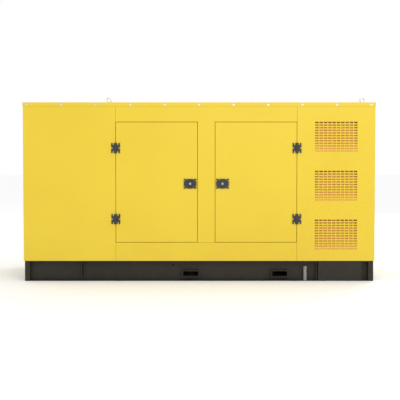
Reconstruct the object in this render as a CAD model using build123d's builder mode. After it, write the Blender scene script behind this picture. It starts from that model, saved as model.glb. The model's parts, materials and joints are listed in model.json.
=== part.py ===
from build123d import *
from math import cos, pi, radians, sin
import os

# Diesel generator set in a sound-attenuating canopy on a skid, in millimetres.
# +X to the right seen from the front, front at -Y, +Z up, origin on the floor under the middle.

os.makedirs("parts", exist_ok=True)

# Skid
BASE_LENGTH = 3500
BASE_WIDTH = 1180
BASE_HEIGHT = 198
RAIL_DEPTH = 50          # width of a channel rail, web to flange edge
RAIL_WALL = 6
RAIL_FLANGE = 8
POST_WIDTH = 50          # end posts, flush with the rail flanges
GUSSET_X = 1180
GUSSET_INSET = 6         # from the rail flange edge to a gusset
BAY_PLATE_X = (1196, 1634)
BAY_PLATE_INSET = 2      # from the rail flange edge to the plate closing the end bay
DRAIN_X = -262
DRAIN_Z = 153
DRAIN_HOLE = 20
ANCHOR_EDGE = 22         # from the rail flange edge to an anchor hole
CROSS_WIDTH = 100
CROSS_DEPTH = 60
CROSS_WALL = 4
STRAP_WIDTH = 120        # floor strap between the rails, under the middle
ANCHOR_HOLE = 18
ANCHOR_INSET = 150       # from the end of the skid to an anchor hole
FORK_X = (-84, 809)
FORK_WIDTH = 170
FORK_HEIGHT = 70
FORK_WALL = 8
FORK_FOOT = 37

# Canopy
CANOPY_LENGTH = 3520
CANOPY_WIDTH = 1200
CANOPY_HEIGHT = 1587     # from the base seal to the top of the roof
SEAL = 5
SHEET = 2
BEND = 3                 # outer radius of a folded edge
FLANGE = 30              # return of a folded panel
SEAM = 1                 # gap between neighbouring panels
ROOF_LIP = 40
ROOF_CLEARANCE = 1
ROOF_BOLTS = 11          # along each long side
ROOF_BOLT_INSET = 40     # from the roof end to the first bolt
BOLT_SHANK = 8
BOLT_HEAD = 14
EYE_RING = 54            # outside of a lifting eye
EYE_HOLE = 30
EYE_INSET_Y = 50

# Doors
DOOR_WIDTH = 814
DOOR_DEPTH = 22
DOOR_GAP = 4
DOOR_HEADER = 194        # from the roof top to the door opening
DOOR_SILL = 185          # from the canopy foot to the door opening
MULLION = 172
MULLION_X = 72
DOOR_SEAL = 7.5
FRAME_PLATE = 3
FRAME_LAP = 20           # inner frame showing inside the door opening
LINING = 18              # sound-absorbing foam

# Hinges and latches
HINGE_BARREL = 11
HINGE_PIN = 4
HINGE_RUN = 0.05         # radial running clearance
HINGE_HEIGHT = 100
HINGE_REACH = 44
HINGE_THICK = 7
HINGE_STANDOFF = 12
HINGE_INSET = 258        # from the door top (and bottom) to a hinge centre
LATCH_WIDTH = 128
LATCH_HEIGHT = 97
LATCH_DISH = 34
LATCH_INSET = 72         # from the free edge of the door
LATCH_RUN = 0.3

# Grilles of the right panels
GRILLE_COLUMNS = 10
GRILLE_ROWS = 12
SLOT_PITCH_X = 43
SLOT_PITCH_Z = 26
SLOT_LENGTH = 36
SLOT_HEIGHT = 15
GRILLE_DROP = 150        # from the door top line to the upper grille centre
GRILLE_RISE = 80         # from the door bottom line to the lower grille centre

# Fuel tank
TANK_LENGTH = 965
TANK_WIDTH = 1050
TANK_HEIGHT = 120
TANK_WALL = 4
CAP_RADIUS = 45
NECK_RADIUS = 38
CAP_GAP = 0.4

# Details tied to the pieces above
EARTH_X = 1064
EARTH_WIDTH = 30
EARTH_THICK = 3
EARTH_BOLT = 9
EARTH_BOLT_EDGE = 13
EARTH_TOP = 150
EARTH_FOOT = 4
HINGE_ROOT = 12.5
HINGE_NOTCH_X = 23
HINGE_NOTCH_WIDTH = 12
HINGE_NOTCH_DEPTH = 20
KNUCKLE_GAP = 0.5
LATCH_THICK = 9
LATCH_KNOB = 26
SPINDLE = 7
CAM_REACH = 75
CAM_THICK = 5
CAM_DEPTH = 68           # from the door skin to the back of the cam
CONTROL_CAM_DEPTH = 40
FRAME_DEPTH = 30
DEFLECTOR_SHEET = 1.5
DEFLECTOR_DEPTH = 45
DISCHARGE_PITCH = 480
EYE_SHANK = 12
EYE_RISE = 26

# Control end
CONTROL_WIDTH = 520
CONTROL_HEIGHT = 520
CONTROL_DEPTH = 22
CONTROL_Y = 0
CONTROL_Z = 1260
CONTROL_HINGE_Z = 170
CONTROL_LATCH_DROP = 80
WINDOW_WIDTH = 330
WINDOW_HEIGHT = 220
WINDOW_RISE = 110
CABINET_DEPTH = 330
CABINET_RECESS = 50      # from the rim to the instrument face
CABINET_RIM = 18
OUTLET_WIDTH = 260
OUTLET_HEIGHT = 110
OUTLET_Z = 390
INLET_Z = 770
CONTROLLER_Z = 1370
STOP_Y = -190
STOP_Z = 1370
STOP_SHANK = 11
BREAKER_Y = -60
BREAKER_Z = 1110
BREAKER_WIDTH = 105
BREAKER_HEIGHT = 165

# Engine, generator and exhaust
CRANK_Z = 590
FAN_Z = 830
BLOCK_X = (-470, 530)
BLOCK_SIDE = 160
BLOCK_TOP = 880
SKIRT_SIDE = 200
SKIRT_TOP = 620
SUMP_TOP = 430
SUMP_DEPTH = 130
COVER_THICK = 30
HEAD_HEIGHT = 100
COVER_HEIGHT = 80
CYLINDERS = 6
BORE = 104
BORE_PITCH = 150
CRANKCASE_SIDE = 120
SHAFT_RADIUS = 35
BELL_END = 650
BELL_RADIUS = 290
FLYWHEEL_RADIUS = 240
GENERATOR_X = (650, 1290)
GENERATOR_RADIUS = 245
ROTOR_X = (800, 1180)
ROTOR_RADIUS = 148
ROTOR_SHAFT = 30
PULLEY_X = (-560, -520)
CRANK_PULLEY = 95
FAN_PULLEY = 70
FAN_SHAFT = 15
FAN_X = (-690, -640)
FAN_RADIUS = 310
FAN_BLADES = 8
BELT_CLEAR = 0.4
BELT_THICK = 8
MOUNT_HEIGHT = 50
MOUNT_RADIUS = 40
MOUNT_TAPER = 12
MOUNT_ENGINE_Y = 250
MOUNT_GENERATOR_Y = 215
CORE_THICK = 97
CORE_WIDTH = 780
CORE_FOOT = 400
CORE_TOP = 1260
EXHAUST_Y = 190
EXHAUST_Z = 1430
EXHAUST_RADIUS = 35
SILENCER_X = (-1650, -960)
SILENCER_RADIUS = 140
TAIL_X = -1450
TAIL_Y = 190
TAIL_RADIUS = 32
TAIL_RISE = 20


# Places worked out from the driving sizes
CANOPY_FOOT = BASE_HEIGHT + SEAL
MOUNT_TOP = BASE_HEIGHT + MOUNT_HEIGHT
TANK_FOOT = BASE_HEIGHT - CROSS_DEPTH - TANK_HEIGHT
ROOF_TOP = CANOPY_FOOT + CANOPY_HEIGHT
PANEL_TOP = ROOF_TOP - SHEET
HALF_LENGTH = CANOPY_LENGTH / 2
HALF_WIDTH = CANOPY_WIDTH / 2
BASE_END = BASE_LENGTH / 2
BASE_SIDE = BASE_WIDTH / 2
RAIL_WEB = BASE_SIDE - RAIL_DEPTH
OPENING_WIDTH = DOOR_WIDTH + 2 * DOOR_GAP
OPENING_FOOT = CANOPY_FOOT + DOOR_SILL
OPENING_TOP = ROOF_TOP - DOOR_HEADER
OPENING_HEIGHT = OPENING_TOP - OPENING_FOOT
OPENING_MIDDLE = (OPENING_TOP + OPENING_FOOT) / 2
DOOR_HEIGHT = OPENING_HEIGHT - 2 * DOOR_GAP
DOOR_X = {
    "left": MULLION_X - MULLION / 2 - OPENING_WIDTH / 2,
    "right": MULLION_X + MULLION / 2 + OPENING_WIDTH / 2,
}
SEAM_LEFT = DOOR_X["left"] - OPENING_WIDTH / 2
SEAM_RIGHT = DOOR_X["right"] + OPENING_WIDTH / 2
FRAME_FACE = HALF_WIDTH - FLANGE
END_SPAN = 2 * FRAME_FACE
HINGE_Z = (
    OPENING_TOP - DOOR_GAP - HINGE_INSET,
    OPENING_FOOT + DOOR_GAP + HINGE_INSET - 26,
)
LATCH_Z = OPENING_MIDDLE - 14

TANK_X = (-1150, -1150 + TANK_LENGTH)
FILLER_X = -640
FILLER_Y = -470
FILLER_TOP = 300
RADIATOR_X = -795
ENGINE_FOOT_X = -360
GENERATOR_FOOT_X = 1020
CROSS_X = (RADIATOR_X, ENGINE_FOOT_X, 362, GENERATOR_FOOT_X)
GRILLE_Z = (
    OPENING_FOOT + GRILLE_RISE,
    (OPENING_FOOT + GRILLE_RISE + OPENING_TOP - GRILLE_DROP) / 2,
    OPENING_TOP - GRILLE_DROP,
)
LATCH_X = {
    "left": DOOR_X["left"] + DOOR_WIDTH / 2 - LATCH_INSET,
    "right": DOOR_X["right"] - DOOR_WIDTH / 2 + LATCH_INSET,
}
BOLT_Z = ROOF_TOP - ROOF_LIP / 2 - 5
EYE_X = (SEAM_LEFT - 67, HALF_LENGTH - 127)
EYE_Y = HALF_WIDTH - EYE_INSET_Y
BULKHEAD_X = RADIATOR_X - CROSS_WIDTH / 2 + FRAME_PLATE
BULKHEAD_SIDE = FRAME_FACE - FRAME_DEPTH
CONTROL_LATCH_Y = CONTROL_Y + CONTROL_WIDTH / 2 - LATCH_INSET
CONTROL_LATCH_Z = CONTROL_Z - CONTROL_LATCH_DROP
CABINET_WIDTH = CONTROL_WIDTH + 2 * (DOOR_GAP + SHEET)
CABINET_HEIGHT = CONTROL_HEIGHT + 2 * (DOOR_GAP + SHEET)
CABINET_X = (HALF_LENGTH - FLANGE - CABINET_DEPTH, HALF_LENGTH - FLANGE)
CABINET_FACE = CABINET_X[1] - CABINET_RECESS



def front_plane(x, z, inset=0):
    """Plane on the front of the canopy, local z pointing out of it."""
    return Plane(origin=(x, inset - HALF_WIDTH, z), x_dir=(1, 0, 0), z_dir=(0, -1, 0))


def end_plane(end, y, z, inset=0):
    """Plane on the left (-1) or right (+1) end of the canopy, local z pointing out of it."""
    origin = (end * (HALF_LENGTH - inset), y, z)
    return Plane(origin=origin, x_dir=(0, end, 0), z_dir=(end, 0, 0))


def save(shape, label):
    """Name one finished piece and write it."""
    shape.label = label
    export_step(shape, f"parts/{label}.step")


def group(shapes):
    """Keep like pieces together as separate solids of one node."""
    solids = []
    for shape in shapes:
        solids.extend(shape.solids())
    return Compound(children=solids)


def box(x, y, z):
    """Solid between three pairs of limits."""
    with BuildPart(Plane((sum(x) / 2, sum(y) / 2, sum(z) / 2))) as block:
        Box(abs(x[1] - x[0]), abs(y[1] - y[0]), abs(z[1] - z[0]))
    return block.part


def tube_box(x, y, z, wall, along):
    """Rectangular tube between three pairs of limits, open along one axis."""
    plane = {"x": Plane.YZ, "y": Plane.XZ}[along]
    across, length = (y, x) if along == "x" else (x, y)
    middle = (sum(across) / 2, sum(z) / 2)
    face = plane.offset(sum(length) / 2 if along == "x" else -sum(length) / 2)
    with BuildPart() as tube:
        with BuildSketch(face):
            with Locations(middle):
                Rectangle(across[1] - across[0], z[1] - z[0])
                Rectangle(across[1] - across[0] - 2 * wall, z[1] - z[0] - 2 * wall, mode=Mode.SUBTRACT)
        extrude(amount=(length[1] - length[0]) / 2, both=True)
    return tube.part


def folded_pan(plane, outline, depth):
    """Sheet tray: its skin on the plane, its returns going inwards."""
    with BuildPart() as pan:
        with BuildSketch(plane):
            add(outline)
        extrude(amount=-depth)
        outward = Axis(plane.origin, plane.z_dir)
        fillet(pan.faces().sort_by(outward)[-1].edges(), BEND)
        offset(amount=-SHEET, openings=pan.faces().sort_by(outward)[0])
    return pan.part


def plain_outline(width, height):
    """Rectangle about the middle of a plane."""
    with BuildSketch() as outline:
        Rectangle(width, height)
    return outline.sketch


# ---------------------------------------------------------------- skid
def skid_frame():
    """Channel rails, posts, gussets, cross members and the floor strap, welded up."""
    run = BASE_END - POST_WIDTH
    web_height = (RAIL_FLANGE, BASE_HEIGHT - RAIL_FLANGE)
    with BuildPart() as rail:
        with BuildSketch(Plane.YZ):
            with Locations((-(RAIL_WEB - RAIL_WALL / 2), BASE_HEIGHT / 2)):
                Rectangle(RAIL_WALL, BASE_HEIGHT)
            for z in (RAIL_FLANGE / 2, BASE_HEIGHT - RAIL_FLANGE / 2):
                with Locations((-(BASE_SIDE + RAIL_WEB) / 2, z)):
                    Rectangle(RAIL_DEPTH, RAIL_FLANGE)
        extrude(amount=run, both=True)
        with BuildSketch(Plane.XZ.offset(RAIL_WEB - 2 * RAIL_WALL)):
            for x in FORK_X:
                with Locations((x, FORK_FOOT + FORK_HEIGHT / 2)):
                    Rectangle(FORK_WIDTH, FORK_HEIGHT)
            with Locations((DRAIN_X, DRAIN_Z)):
                Circle(DRAIN_HOLE / 2)
        extrude(amount=4 * RAIL_WALL, mode=Mode.SUBTRACT)
        with BuildSketch(Plane.XY):
            for x in (-BASE_END + ANCHOR_INSET, BASE_END - ANCHOR_INSET):
                with Locations((x, -(BASE_SIDE - ANCHOR_EDGE))):
                    Circle(ANCHOR_HOLE / 2)
        extrude(amount=2 * RAIL_FLANGE, mode=Mode.SUBTRACT)
    rear_rail = mirror(rail.part, about=Plane.XZ)
    pieces = [rail.part, rear_rail]
    for end in (-1, 1):
        limits = sorted((end * run, end * BASE_END))
        pieces.append(tube_box(limits, (-BASE_SIDE, BASE_SIDE), (0, BASE_HEIGHT), RAIL_WALL, "y"))
        bore = (limits[0] + RAIL_WALL, limits[1] - RAIL_WALL)
        for side in (-1, 1):
            cap = sorted((side * (BASE_SIDE - RAIL_WALL), side * BASE_SIDE))
            pieces.append(box(bore, cap, (RAIL_WALL, BASE_HEIGHT - RAIL_WALL)))
            gusset = sorted((side * RAIL_WEB, side * (BASE_SIDE - GUSSET_INSET)))
            at = end * GUSSET_X
            pieces.append(box((at - RAIL_FLANGE / 2, at + RAIL_FLANGE / 2), gusset, web_height))
    for side in (-1, 1):
        plate = sorted((side * (BASE_SIDE - GUSSET_INSET), side * (BASE_SIDE - BAY_PLATE_INSET)))
        pieces.append(box(BAY_PLATE_X, plate, web_height))
    clear_half = RAIL_WEB - RAIL_WALL
    for x in CROSS_X:
        span = (x - CROSS_WIDTH / 2, x + CROSS_WIDTH / 2)
        height = (BASE_HEIGHT - CROSS_DEPTH, BASE_HEIGHT)
        pieces.append(tube_box(span, (-clear_half, clear_half), height, CROSS_WALL, "y"))
    strap = (-STRAP_WIDTH / 2, STRAP_WIDTH / 2)
    pieces.append(box(strap, (-clear_half, clear_half), (0, RAIL_FLANGE)))
    return group(pieces)


def fork_pockets():
    """Two rectangular tubes through both rails."""
    height = (FORK_FOOT, FORK_FOOT + FORK_HEIGHT)
    tubes = []
    for x in FORK_X:
        span = (x - FORK_WIDTH / 2, x + FORK_WIDTH / 2)
        tubes.append(tube_box(span, (-BASE_SIDE, BASE_SIDE), height, FORK_WALL, "y"))
    return group(tubes)


def fuel_tank():
    """Flat steel tank under the engine with its filler neck, hung from the cross members."""
    middle = Plane((sum(TANK_X) / 2, 0, TANK_FOOT + TANK_HEIGHT / 2))
    neck_height = FILLER_TOP - TANK_FOOT - TANK_HEIGHT
    neck_plane = Plane((FILLER_X, FILLER_Y, TANK_FOOT + TANK_HEIGHT))
    with BuildPart() as tank:
        with BuildSketch(middle.offset(-TANK_HEIGHT / 2)):
            RectangleRounded(TANK_LENGTH, TANK_WIDTH, 12)
        extrude(amount=TANK_HEIGHT)
        with BuildSketch(neck_plane):
            Circle(NECK_RADIUS)
        extrude(amount=neck_height)
        with BuildSketch(middle.offset(TANK_WALL - TANK_HEIGHT / 2)):
            RectangleRounded(TANK_LENGTH - 2 * TANK_WALL, TANK_WIDTH - 2 * TANK_WALL, 8)
        extrude(amount=TANK_HEIGHT - 2 * TANK_WALL, mode=Mode.SUBTRACT)
        with BuildSketch(neck_plane.offset(-2 * TANK_WALL)):
            Circle(NECK_RADIUS - TANK_WALL)
        extrude(amount=neck_height + 2 * TANK_WALL, mode=Mode.SUBTRACT)
    return tank.part


def fuel_cap():
    """Ribbed cap sitting on the filler neck, with a plug inside it."""
    with BuildPart() as cap:
        with BuildSketch(Plane((FILLER_X, FILLER_Y, FILLER_TOP + CAP_GAP))):
            Circle(CAP_RADIUS)
            with PolarLocations(CAP_RADIUS, 12):
                Circle(4, mode=Mode.SUBTRACT)
        extrude(amount=22)
        fillet(cap.faces().sort_by(Axis.Z)[-1].edges(), 1.5)
        with BuildSketch(Plane((FILLER_X, FILLER_Y, FILLER_TOP - 14))):
            Circle(NECK_RADIUS - TANK_WALL - CAP_GAP)
        extrude(amount=14 + CAP_GAP)
    return cap.part


def earth_terminal():
    """Bare metal strap down the front rail with its two bolts."""
    strap_face = Plane(origin=(EARTH_X, -BASE_SIDE, 0), x_dir=(1, 0, 0), z_dir=(0, -1, 0))
    with BuildPart() as strap:
        with BuildSketch(strap_face):
            with Locations((0, (EARTH_TOP + EARTH_FOOT) / 2)):
                RectangleRounded(EARTH_WIDTH, EARTH_TOP - EARTH_FOOT, 4)
        extrude(amount=EARTH_THICK)
        fillet(strap.faces().sort_by(Axis.Y)[0].edges(), 0.8)
        for z in (EARTH_TOP - EARTH_BOLT_EDGE, EARTH_FOOT + EARTH_BOLT_EDGE):
            with BuildSketch(strap_face.offset(EARTH_THICK)):
                with Locations((0, z)):
                    RegularPolygon(EARTH_BOLT, 6)
            extrude(amount=6)
    return strap.part


def ring_seal(width, height, thick, plane, depth):
    """Rubber strip round an opening."""
    with BuildPart() as seal:
        with BuildSketch(plane):
            Rectangle(width + 2 * thick, height + 2 * thick)
            Rectangle(width, height, mode=Mode.SUBTRACT)
        extrude(amount=depth)
    return seal.part


def weather_seals():
    """Strip between canopy and skid, and the strips the doors close against."""
    with BuildPart() as foot:
        with BuildSketch(Plane.XY.offset(BASE_HEIGHT)):
            Rectangle(BASE_LENGTH, BASE_WIDTH)
            Rectangle(BASE_LENGTH - 50, BASE_WIDTH - 50, mode=Mode.SUBTRACT)
        extrude(amount=SEAL)
    seals = [foot.part]
    width = OPENING_WIDTH - 2 * FRAME_LAP + 12
    height = OPENING_HEIGHT - 2 * FRAME_LAP + 12
    for x in DOOR_X.values():
        face = front_plane(x, OPENING_MIDDLE, FLANGE)
        strip = ring_seal(width, height, 12, face, DOOR_SEAL)
        seals.extend([strip, mirror(strip, about=Plane.XZ)])
    face = end_plane(1, CONTROL_Y, CONTROL_Z, FLANGE)
    width = CABINET_WIDTH - 2 * CABINET_RIM + 2
    height = CABINET_HEIGHT - 2 * CABINET_RIM + 2
    seals.append(ring_seal(width, height, 8, face, FLANGE - CONTROL_DEPTH - 0.5))
    return group(seals)


# ---------------------------------------------------------------- canopy
def panel_front(left, right, grilles):
    """Folded side panel between two X limits, wrapped round the corner of the canopy."""
    width = right - left
    height = PANEL_TOP - CANOPY_FOOT
    plane = front_plane((left + right) / 2, CANOPY_FOOT + height / 2)
    panel = folded_pan(plane, plain_outline(width, height), FLANGE)
    with BuildPart() as cut:
        add(panel)
        if grilles:
            with BuildSketch(plane.offset(-2 * SHEET)):
                for z in GRILLE_Z:
                    with Locations((0, z - CANOPY_FOOT - height / 2)):
                        with GridLocations(SLOT_PITCH_X, SLOT_PITCH_Z, GRILLE_COLUMNS, GRILLE_ROWS):
                            Rectangle(SLOT_LENGTH, SLOT_HEIGHT)
            extrude(amount=3 * SHEET, mode=Mode.SUBTRACT)
        with BuildSketch(plane.offset(-2 * BOLT_SHANK)):
            for x in roof_bolt_places():
                if left < x < right:
                    with Locations((x - (left + right) / 2, BOLT_Z - CANOPY_FOOT - height / 2)):
                        Circle(BOLT_SHANK / 2 + 0.5)
        extrude(amount=3 * BOLT_SHANK, mode=Mode.SUBTRACT)
    return cut.part


def roof_bolt_places():
    """X of each bolt along a long side of the roof."""
    first = -HALF_LENGTH + ROOF_BOLT_INSET
    pitch = (CANOPY_LENGTH - 2 * ROOF_BOLT_INSET) / (ROOF_BOLTS - 1)
    return [first + pitch * n for n in range(ROOF_BOLTS)]


def door_surround():
    """Header and mullion in one folded sheet, and the sill in another."""
    left = SEAM_LEFT + SEAM
    right = SEAM_RIGHT - SEAM
    middle = (left + right) / 2
    plane = front_plane(middle, OPENING_TOP)
    header = PANEL_TOP - OPENING_TOP
    drop = OPENING_HEIGHT - SEAM
    mullion = MULLION_X - middle
    with BuildSketch() as tee:
        with Locations((0, header / 2)):
            Rectangle(right - left, header)
        with Locations((mullion, -drop / 2)):
            Rectangle(MULLION, drop)
    top = folded_pan(plane, tee.sketch, FLANGE)
    with BuildPart() as drilled:
        add(top)
        with BuildSketch(plane.offset(-2 * BOLT_SHANK)):
            for x in roof_bolt_places():
                if left < x < right:
                    with Locations((x - middle, BOLT_Z - OPENING_TOP)):
                        Circle(BOLT_SHANK / 2 + 0.5)
        extrude(amount=3 * BOLT_SHANK, mode=Mode.SUBTRACT)
    foot = OPENING_FOOT - CANOPY_FOOT
    sill_plane = front_plane(middle, CANOPY_FOOT + foot / 2)
    sill = folded_pan(sill_plane, plain_outline(right - left, foot), FLANGE)
    return group([drilled.part, sill])


def end_panel_left():
    """Hot air discharge end: six blocks of slots in a folded panel."""
    height = PANEL_TOP - CANOPY_FOOT
    plane = end_plane(-1, 0, CANOPY_FOOT + height / 2)
    panel = folded_pan(plane, plain_outline(END_SPAN, height), FLANGE)
    with BuildPart() as cut:
        add(panel)
        with BuildSketch(plane.offset(-2 * SHEET)):
            with GridLocations(END_SPAN / 2 - 30, DISCHARGE_PITCH, 2, 3):
                with GridLocations(SLOT_PITCH_X, SLOT_PITCH_Z, GRILLE_COLUMNS, GRILLE_ROWS):
                    Rectangle(SLOT_LENGTH, SLOT_HEIGHT)
        extrude(amount=3 * SHEET, mode=Mode.SUBTRACT)
    return cut.part


def end_panel_right():
    """Control end: door opening with its sleeve, cable outlet and an air inlet below the door."""
    height = PANEL_TOP - CANOPY_FOOT
    middle = CANOPY_FOOT + height / 2
    plane = end_plane(1, 0, middle)
    panel = folded_pan(plane, plain_outline(END_SPAN, height), FLANGE)
    control = (CONTROL_Y, CONTROL_Z - middle)
    outlet = (0, OUTLET_Z - middle)
    with BuildPart() as cut:
        add(panel)
        for place, width, tall in (
            (control, CONTROL_WIDTH + 2 * DOOR_GAP, CONTROL_HEIGHT + 2 * DOOR_GAP),
            (outlet, OUTLET_WIDTH, OUTLET_HEIGHT),
        ):
            with BuildSketch(plane):
                with Locations(place):
                    Rectangle(width + 2 * SHEET, tall + 2 * SHEET)
            extrude(amount=-FLANGE)
            with BuildSketch(plane.offset(1)):
                with Locations(place):
                    Rectangle(width, tall)
            extrude(amount=-FLANGE - 2, mode=Mode.SUBTRACT)
        with BuildSketch(plane.offset(-2 * SHEET)):
            with Locations((0, INLET_Z - middle)):
                with GridLocations(SLOT_PITCH_X, SLOT_PITCH_Z, 2 * GRILLE_COLUMNS, GRILLE_ROWS - 4):
                    Rectangle(SLOT_LENGTH, SLOT_HEIGHT)
        extrude(amount=3 * SHEET, mode=Mode.SUBTRACT)
    return cut.part


def roof():
    """Flat roof sheet with a turned-down lip, a filler hatch and the exhaust collar."""
    length = CANOPY_LENGTH + 2 * (ROOF_CLEARANCE + SHEET)
    width = CANOPY_WIDTH + 2 * (ROOF_CLEARANCE + SHEET)
    with BuildPart() as cap:
        with BuildSketch(Plane.XY.offset(ROOF_TOP)):
            Rectangle(length, width)
        extrude(amount=-ROOF_LIP)
        fillet(cap.faces().sort_by(Axis.Z)[-1].edges(), BEND)
        offset(amount=-SHEET, openings=cap.faces().sort_by(Axis.Z)[0])
        with BuildSketch(Plane.XY.offset(ROOF_TOP)):
            with Locations((TAIL_X, TAIL_Y)):
                Circle(TAIL_RADIUS + 14)
            with Locations((RADIATOR_X + 60, 0)):
                RectangleRounded(180, 180, 20)
        extrude(amount=4)
        with BuildSketch(Plane.XY.offset(ROOF_TOP - 2 * SHEET)):
            with Locations((TAIL_X, TAIL_Y)):
                Circle(TAIL_RADIUS + 3)
            for x in EYE_X:
                for y in (-EYE_Y, EYE_Y):
                    with Locations((x, y)):
                        Circle(EYE_SHANK / 2 + 0.5)
        extrude(amount=12, mode=Mode.SUBTRACT)
        with BuildSketch(Plane.XZ.offset(-HALF_WIDTH - 10)):
            for x in roof_bolt_places():
                with Locations((x, BOLT_Z)):
                    Circle(BOLT_SHANK / 2 + 0.5)
        extrude(amount=CANOPY_WIDTH + 20, mode=Mode.SUBTRACT)
    return cap.part


def roof_bolts():
    """Zinc plated bolts through the roof lip into the side panels, with washers and nuts."""
    lip = HALF_WIDTH + ROOF_CLEARANCE + SHEET
    bolts = []
    for x in roof_bolt_places():
        with BuildPart() as bolt:
            with BuildSketch(Plane(origin=(x, -lip, BOLT_Z), x_dir=(1, 0, 0), z_dir=(0, -1, 0))):
                Circle(BOLT_HEAD / 2 + 4)
            extrude(amount=1.5)
            with BuildSketch(Plane(origin=(x, -lip - 1.5, BOLT_Z), x_dir=(1, 0, 0), z_dir=(0, -1, 0))):
                RegularPolygon(BOLT_HEAD / 2, 6)
            extrude(amount=5)
            with BuildSketch(Plane(origin=(x, -lip, BOLT_Z), x_dir=(1, 0, 0), z_dir=(0, 1, 0))):
                Circle(BOLT_SHANK / 2)
            extrude(amount=14)
            inner_face = Plane(origin=(x, SHEET - HALF_WIDTH, BOLT_Z), x_dir=(1, 0, 0), z_dir=(0, 1, 0))
            with BuildSketch(inner_face):
                RegularPolygon(BOLT_HEAD / 2, 6)
            extrude(amount=6)
        bolts.extend([bolt.part, mirror(bolt.part, about=Plane.XZ)])
    return group(bolts)


def lifting_eyes():
    """Forged eye bolts through the roof, with a flange and a shank nutted below."""
    eyes = []
    for x in EYE_X:
        for y in (-EYE_Y, EYE_Y):
            foot = Plane((x, y, ROOF_TOP))
            ring_face = Plane((x, y, ROOF_TOP + EYE_RISE), x_dir=(1, 0, 0), z_dir=(0, -1, 0))
            with BuildPart() as eye:
                with BuildSketch(foot):
                    Circle(14)
                extrude(amount=6)
                with BuildSketch(foot.offset(6)):
                    Circle(9)
                extrude(amount=10, taper=12)
                with BuildSketch(foot):
                    Circle(EYE_SHANK / 2)
                extrude(amount=-22)
                with BuildSketch(foot.offset(-SHEET)):
                    RegularPolygon(11, 6)
                extrude(amount=-10)
                with Locations(ring_face):
                    Torus((EYE_RING + EYE_HOLE) / 4, (EYE_RING - EYE_HOLE) / 4)
            eyes.append(eye.part)
    return group(eyes)


def inner_frames():
    """Ladder frame behind each long side that the doors close against."""
    low, high = CANOPY_FOOT, PANEL_TOP - SHEET
    left = SEAM_LEFT - FRAME_LAP
    right = SEAM_RIGHT + FRAME_LAP
    middle_x, middle_z = (left + right) / 2, (low + high) / 2
    plane = front_plane(middle_x, middle_z, FLANGE)
    with BuildPart() as frame:
        with BuildSketch(plane):
            Rectangle(right - left, high - low)
        extrude(amount=-FRAME_DEPTH)
        for x in DOOR_X.values():
            with BuildSketch(plane.offset(1)):
                with Locations((x - middle_x, OPENING_MIDDLE - middle_z)):
                    Rectangle(OPENING_WIDTH - 2 * FRAME_LAP, OPENING_HEIGHT - 2 * FRAME_LAP)
            extrude(amount=-FRAME_DEPTH - 2, mode=Mode.SUBTRACT)
        offset(amount=-FRAME_PLATE, openings=frame.faces().sort_by(Axis.Y)[-1])
    return group([frame.part, mirror(frame.part, about=Plane.XZ)])


def air_baffles():
    """Bulkhead behind the radiator and the sloping deflectors behind the grilles."""
    with BuildPart() as bulkhead:
        with BuildSketch(Plane.YZ.offset(BULKHEAD_X)):
            with Locations((0, (BASE_HEIGHT + PANEL_TOP) / 2)):
                Rectangle(2 * BULKHEAD_SIDE, PANEL_TOP - BASE_HEIGHT)
            with Locations((0, (CORE_FOOT + CORE_TOP) / 2)):
                Rectangle(CORE_WIDTH - 30, CORE_TOP - CORE_FOOT - 30, mode=Mode.SUBTRACT)
            with Locations((EXHAUST_Y, EXHAUST_Z)):
                Circle(EXHAUST_RADIUS + 8, mode=Mode.SUBTRACT)
        extrude(amount=-FRAME_PLATE)
    pieces = [bulkhead.part]
    half = (GRILLE_ROWS * SLOT_PITCH_Z) / 2 + 12
    span = (SEAM_RIGHT + HALF_LENGTH) / 2
    reach = GRILLE_COLUMNS * SLOT_PITCH_X / 2 + 10
    skin = HALF_WIDTH - SHEET
    for z in GRILLE_Z:
        with BuildPart() as deflector:
            with BuildSketch(Plane.YZ.offset(span)):
                with BuildLine():
                    Polyline(
                        (-skin, z - half - DEFLECTOR_SHEET),
                        (-skin, z - half),
                        (-skin + DEFLECTOR_DEPTH, z + half),
                        (-skin + DEFLECTOR_DEPTH + DEFLECTOR_SHEET, z + half),
                        (-skin + DEFLECTOR_SHEET, z - half - DEFLECTOR_SHEET),
                        close=True,
                    )
                make_face()
            extrude(amount=reach, both=True)
        pieces.extend([deflector.part, mirror(deflector.part, about=Plane.XZ)])
    return group(pieces)


def canopy_lining():
    """Foam under the roof and inside the left side panels."""
    top = PANEL_TOP
    sheets = []
    middle = SEAM_RIGHT + FRAME_LAP
    for left, right in ((BULKHEAD_X + 6, middle), (middle + 4, HALF_LENGTH - FLANGE - 10)):
        sheets.append(box((left, right), (-BULKHEAD_SIDE + 12, BULKHEAD_SIDE - 12), (top - LINING, top)))
    left = -HALF_LENGTH + FLANGE + 4
    right = BULKHEAD_X - 8
    for side in (-1, 1):
        limits = sorted((side * (HALF_WIDTH - SHEET - LINING), side * (HALF_WIDTH - SHEET)))
        sheets.append(box((left, right), limits, (CANOPY_FOOT + 40, PANEL_TOP - 60)))
    return group(sheets)


def door_skin(side):
    """Folded door pan, drilled for the latch spindle."""
    plane = front_plane(DOOR_X[side], OPENING_MIDDLE)
    pan = folded_pan(plane, plain_outline(DOOR_WIDTH, DOOR_HEIGHT), DOOR_DEPTH)
    with BuildPart() as door:
        add(pan)
        with BuildSketch(plane.offset(-2 * SHEET)):
            with Locations((LATCH_X[side] - DOOR_X[side], LATCH_Z - OPENING_MIDDLE)):
                Circle(SPINDLE + 1)
        extrude(amount=3 * SHEET, mode=Mode.SUBTRACT)
    return door.part


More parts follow.
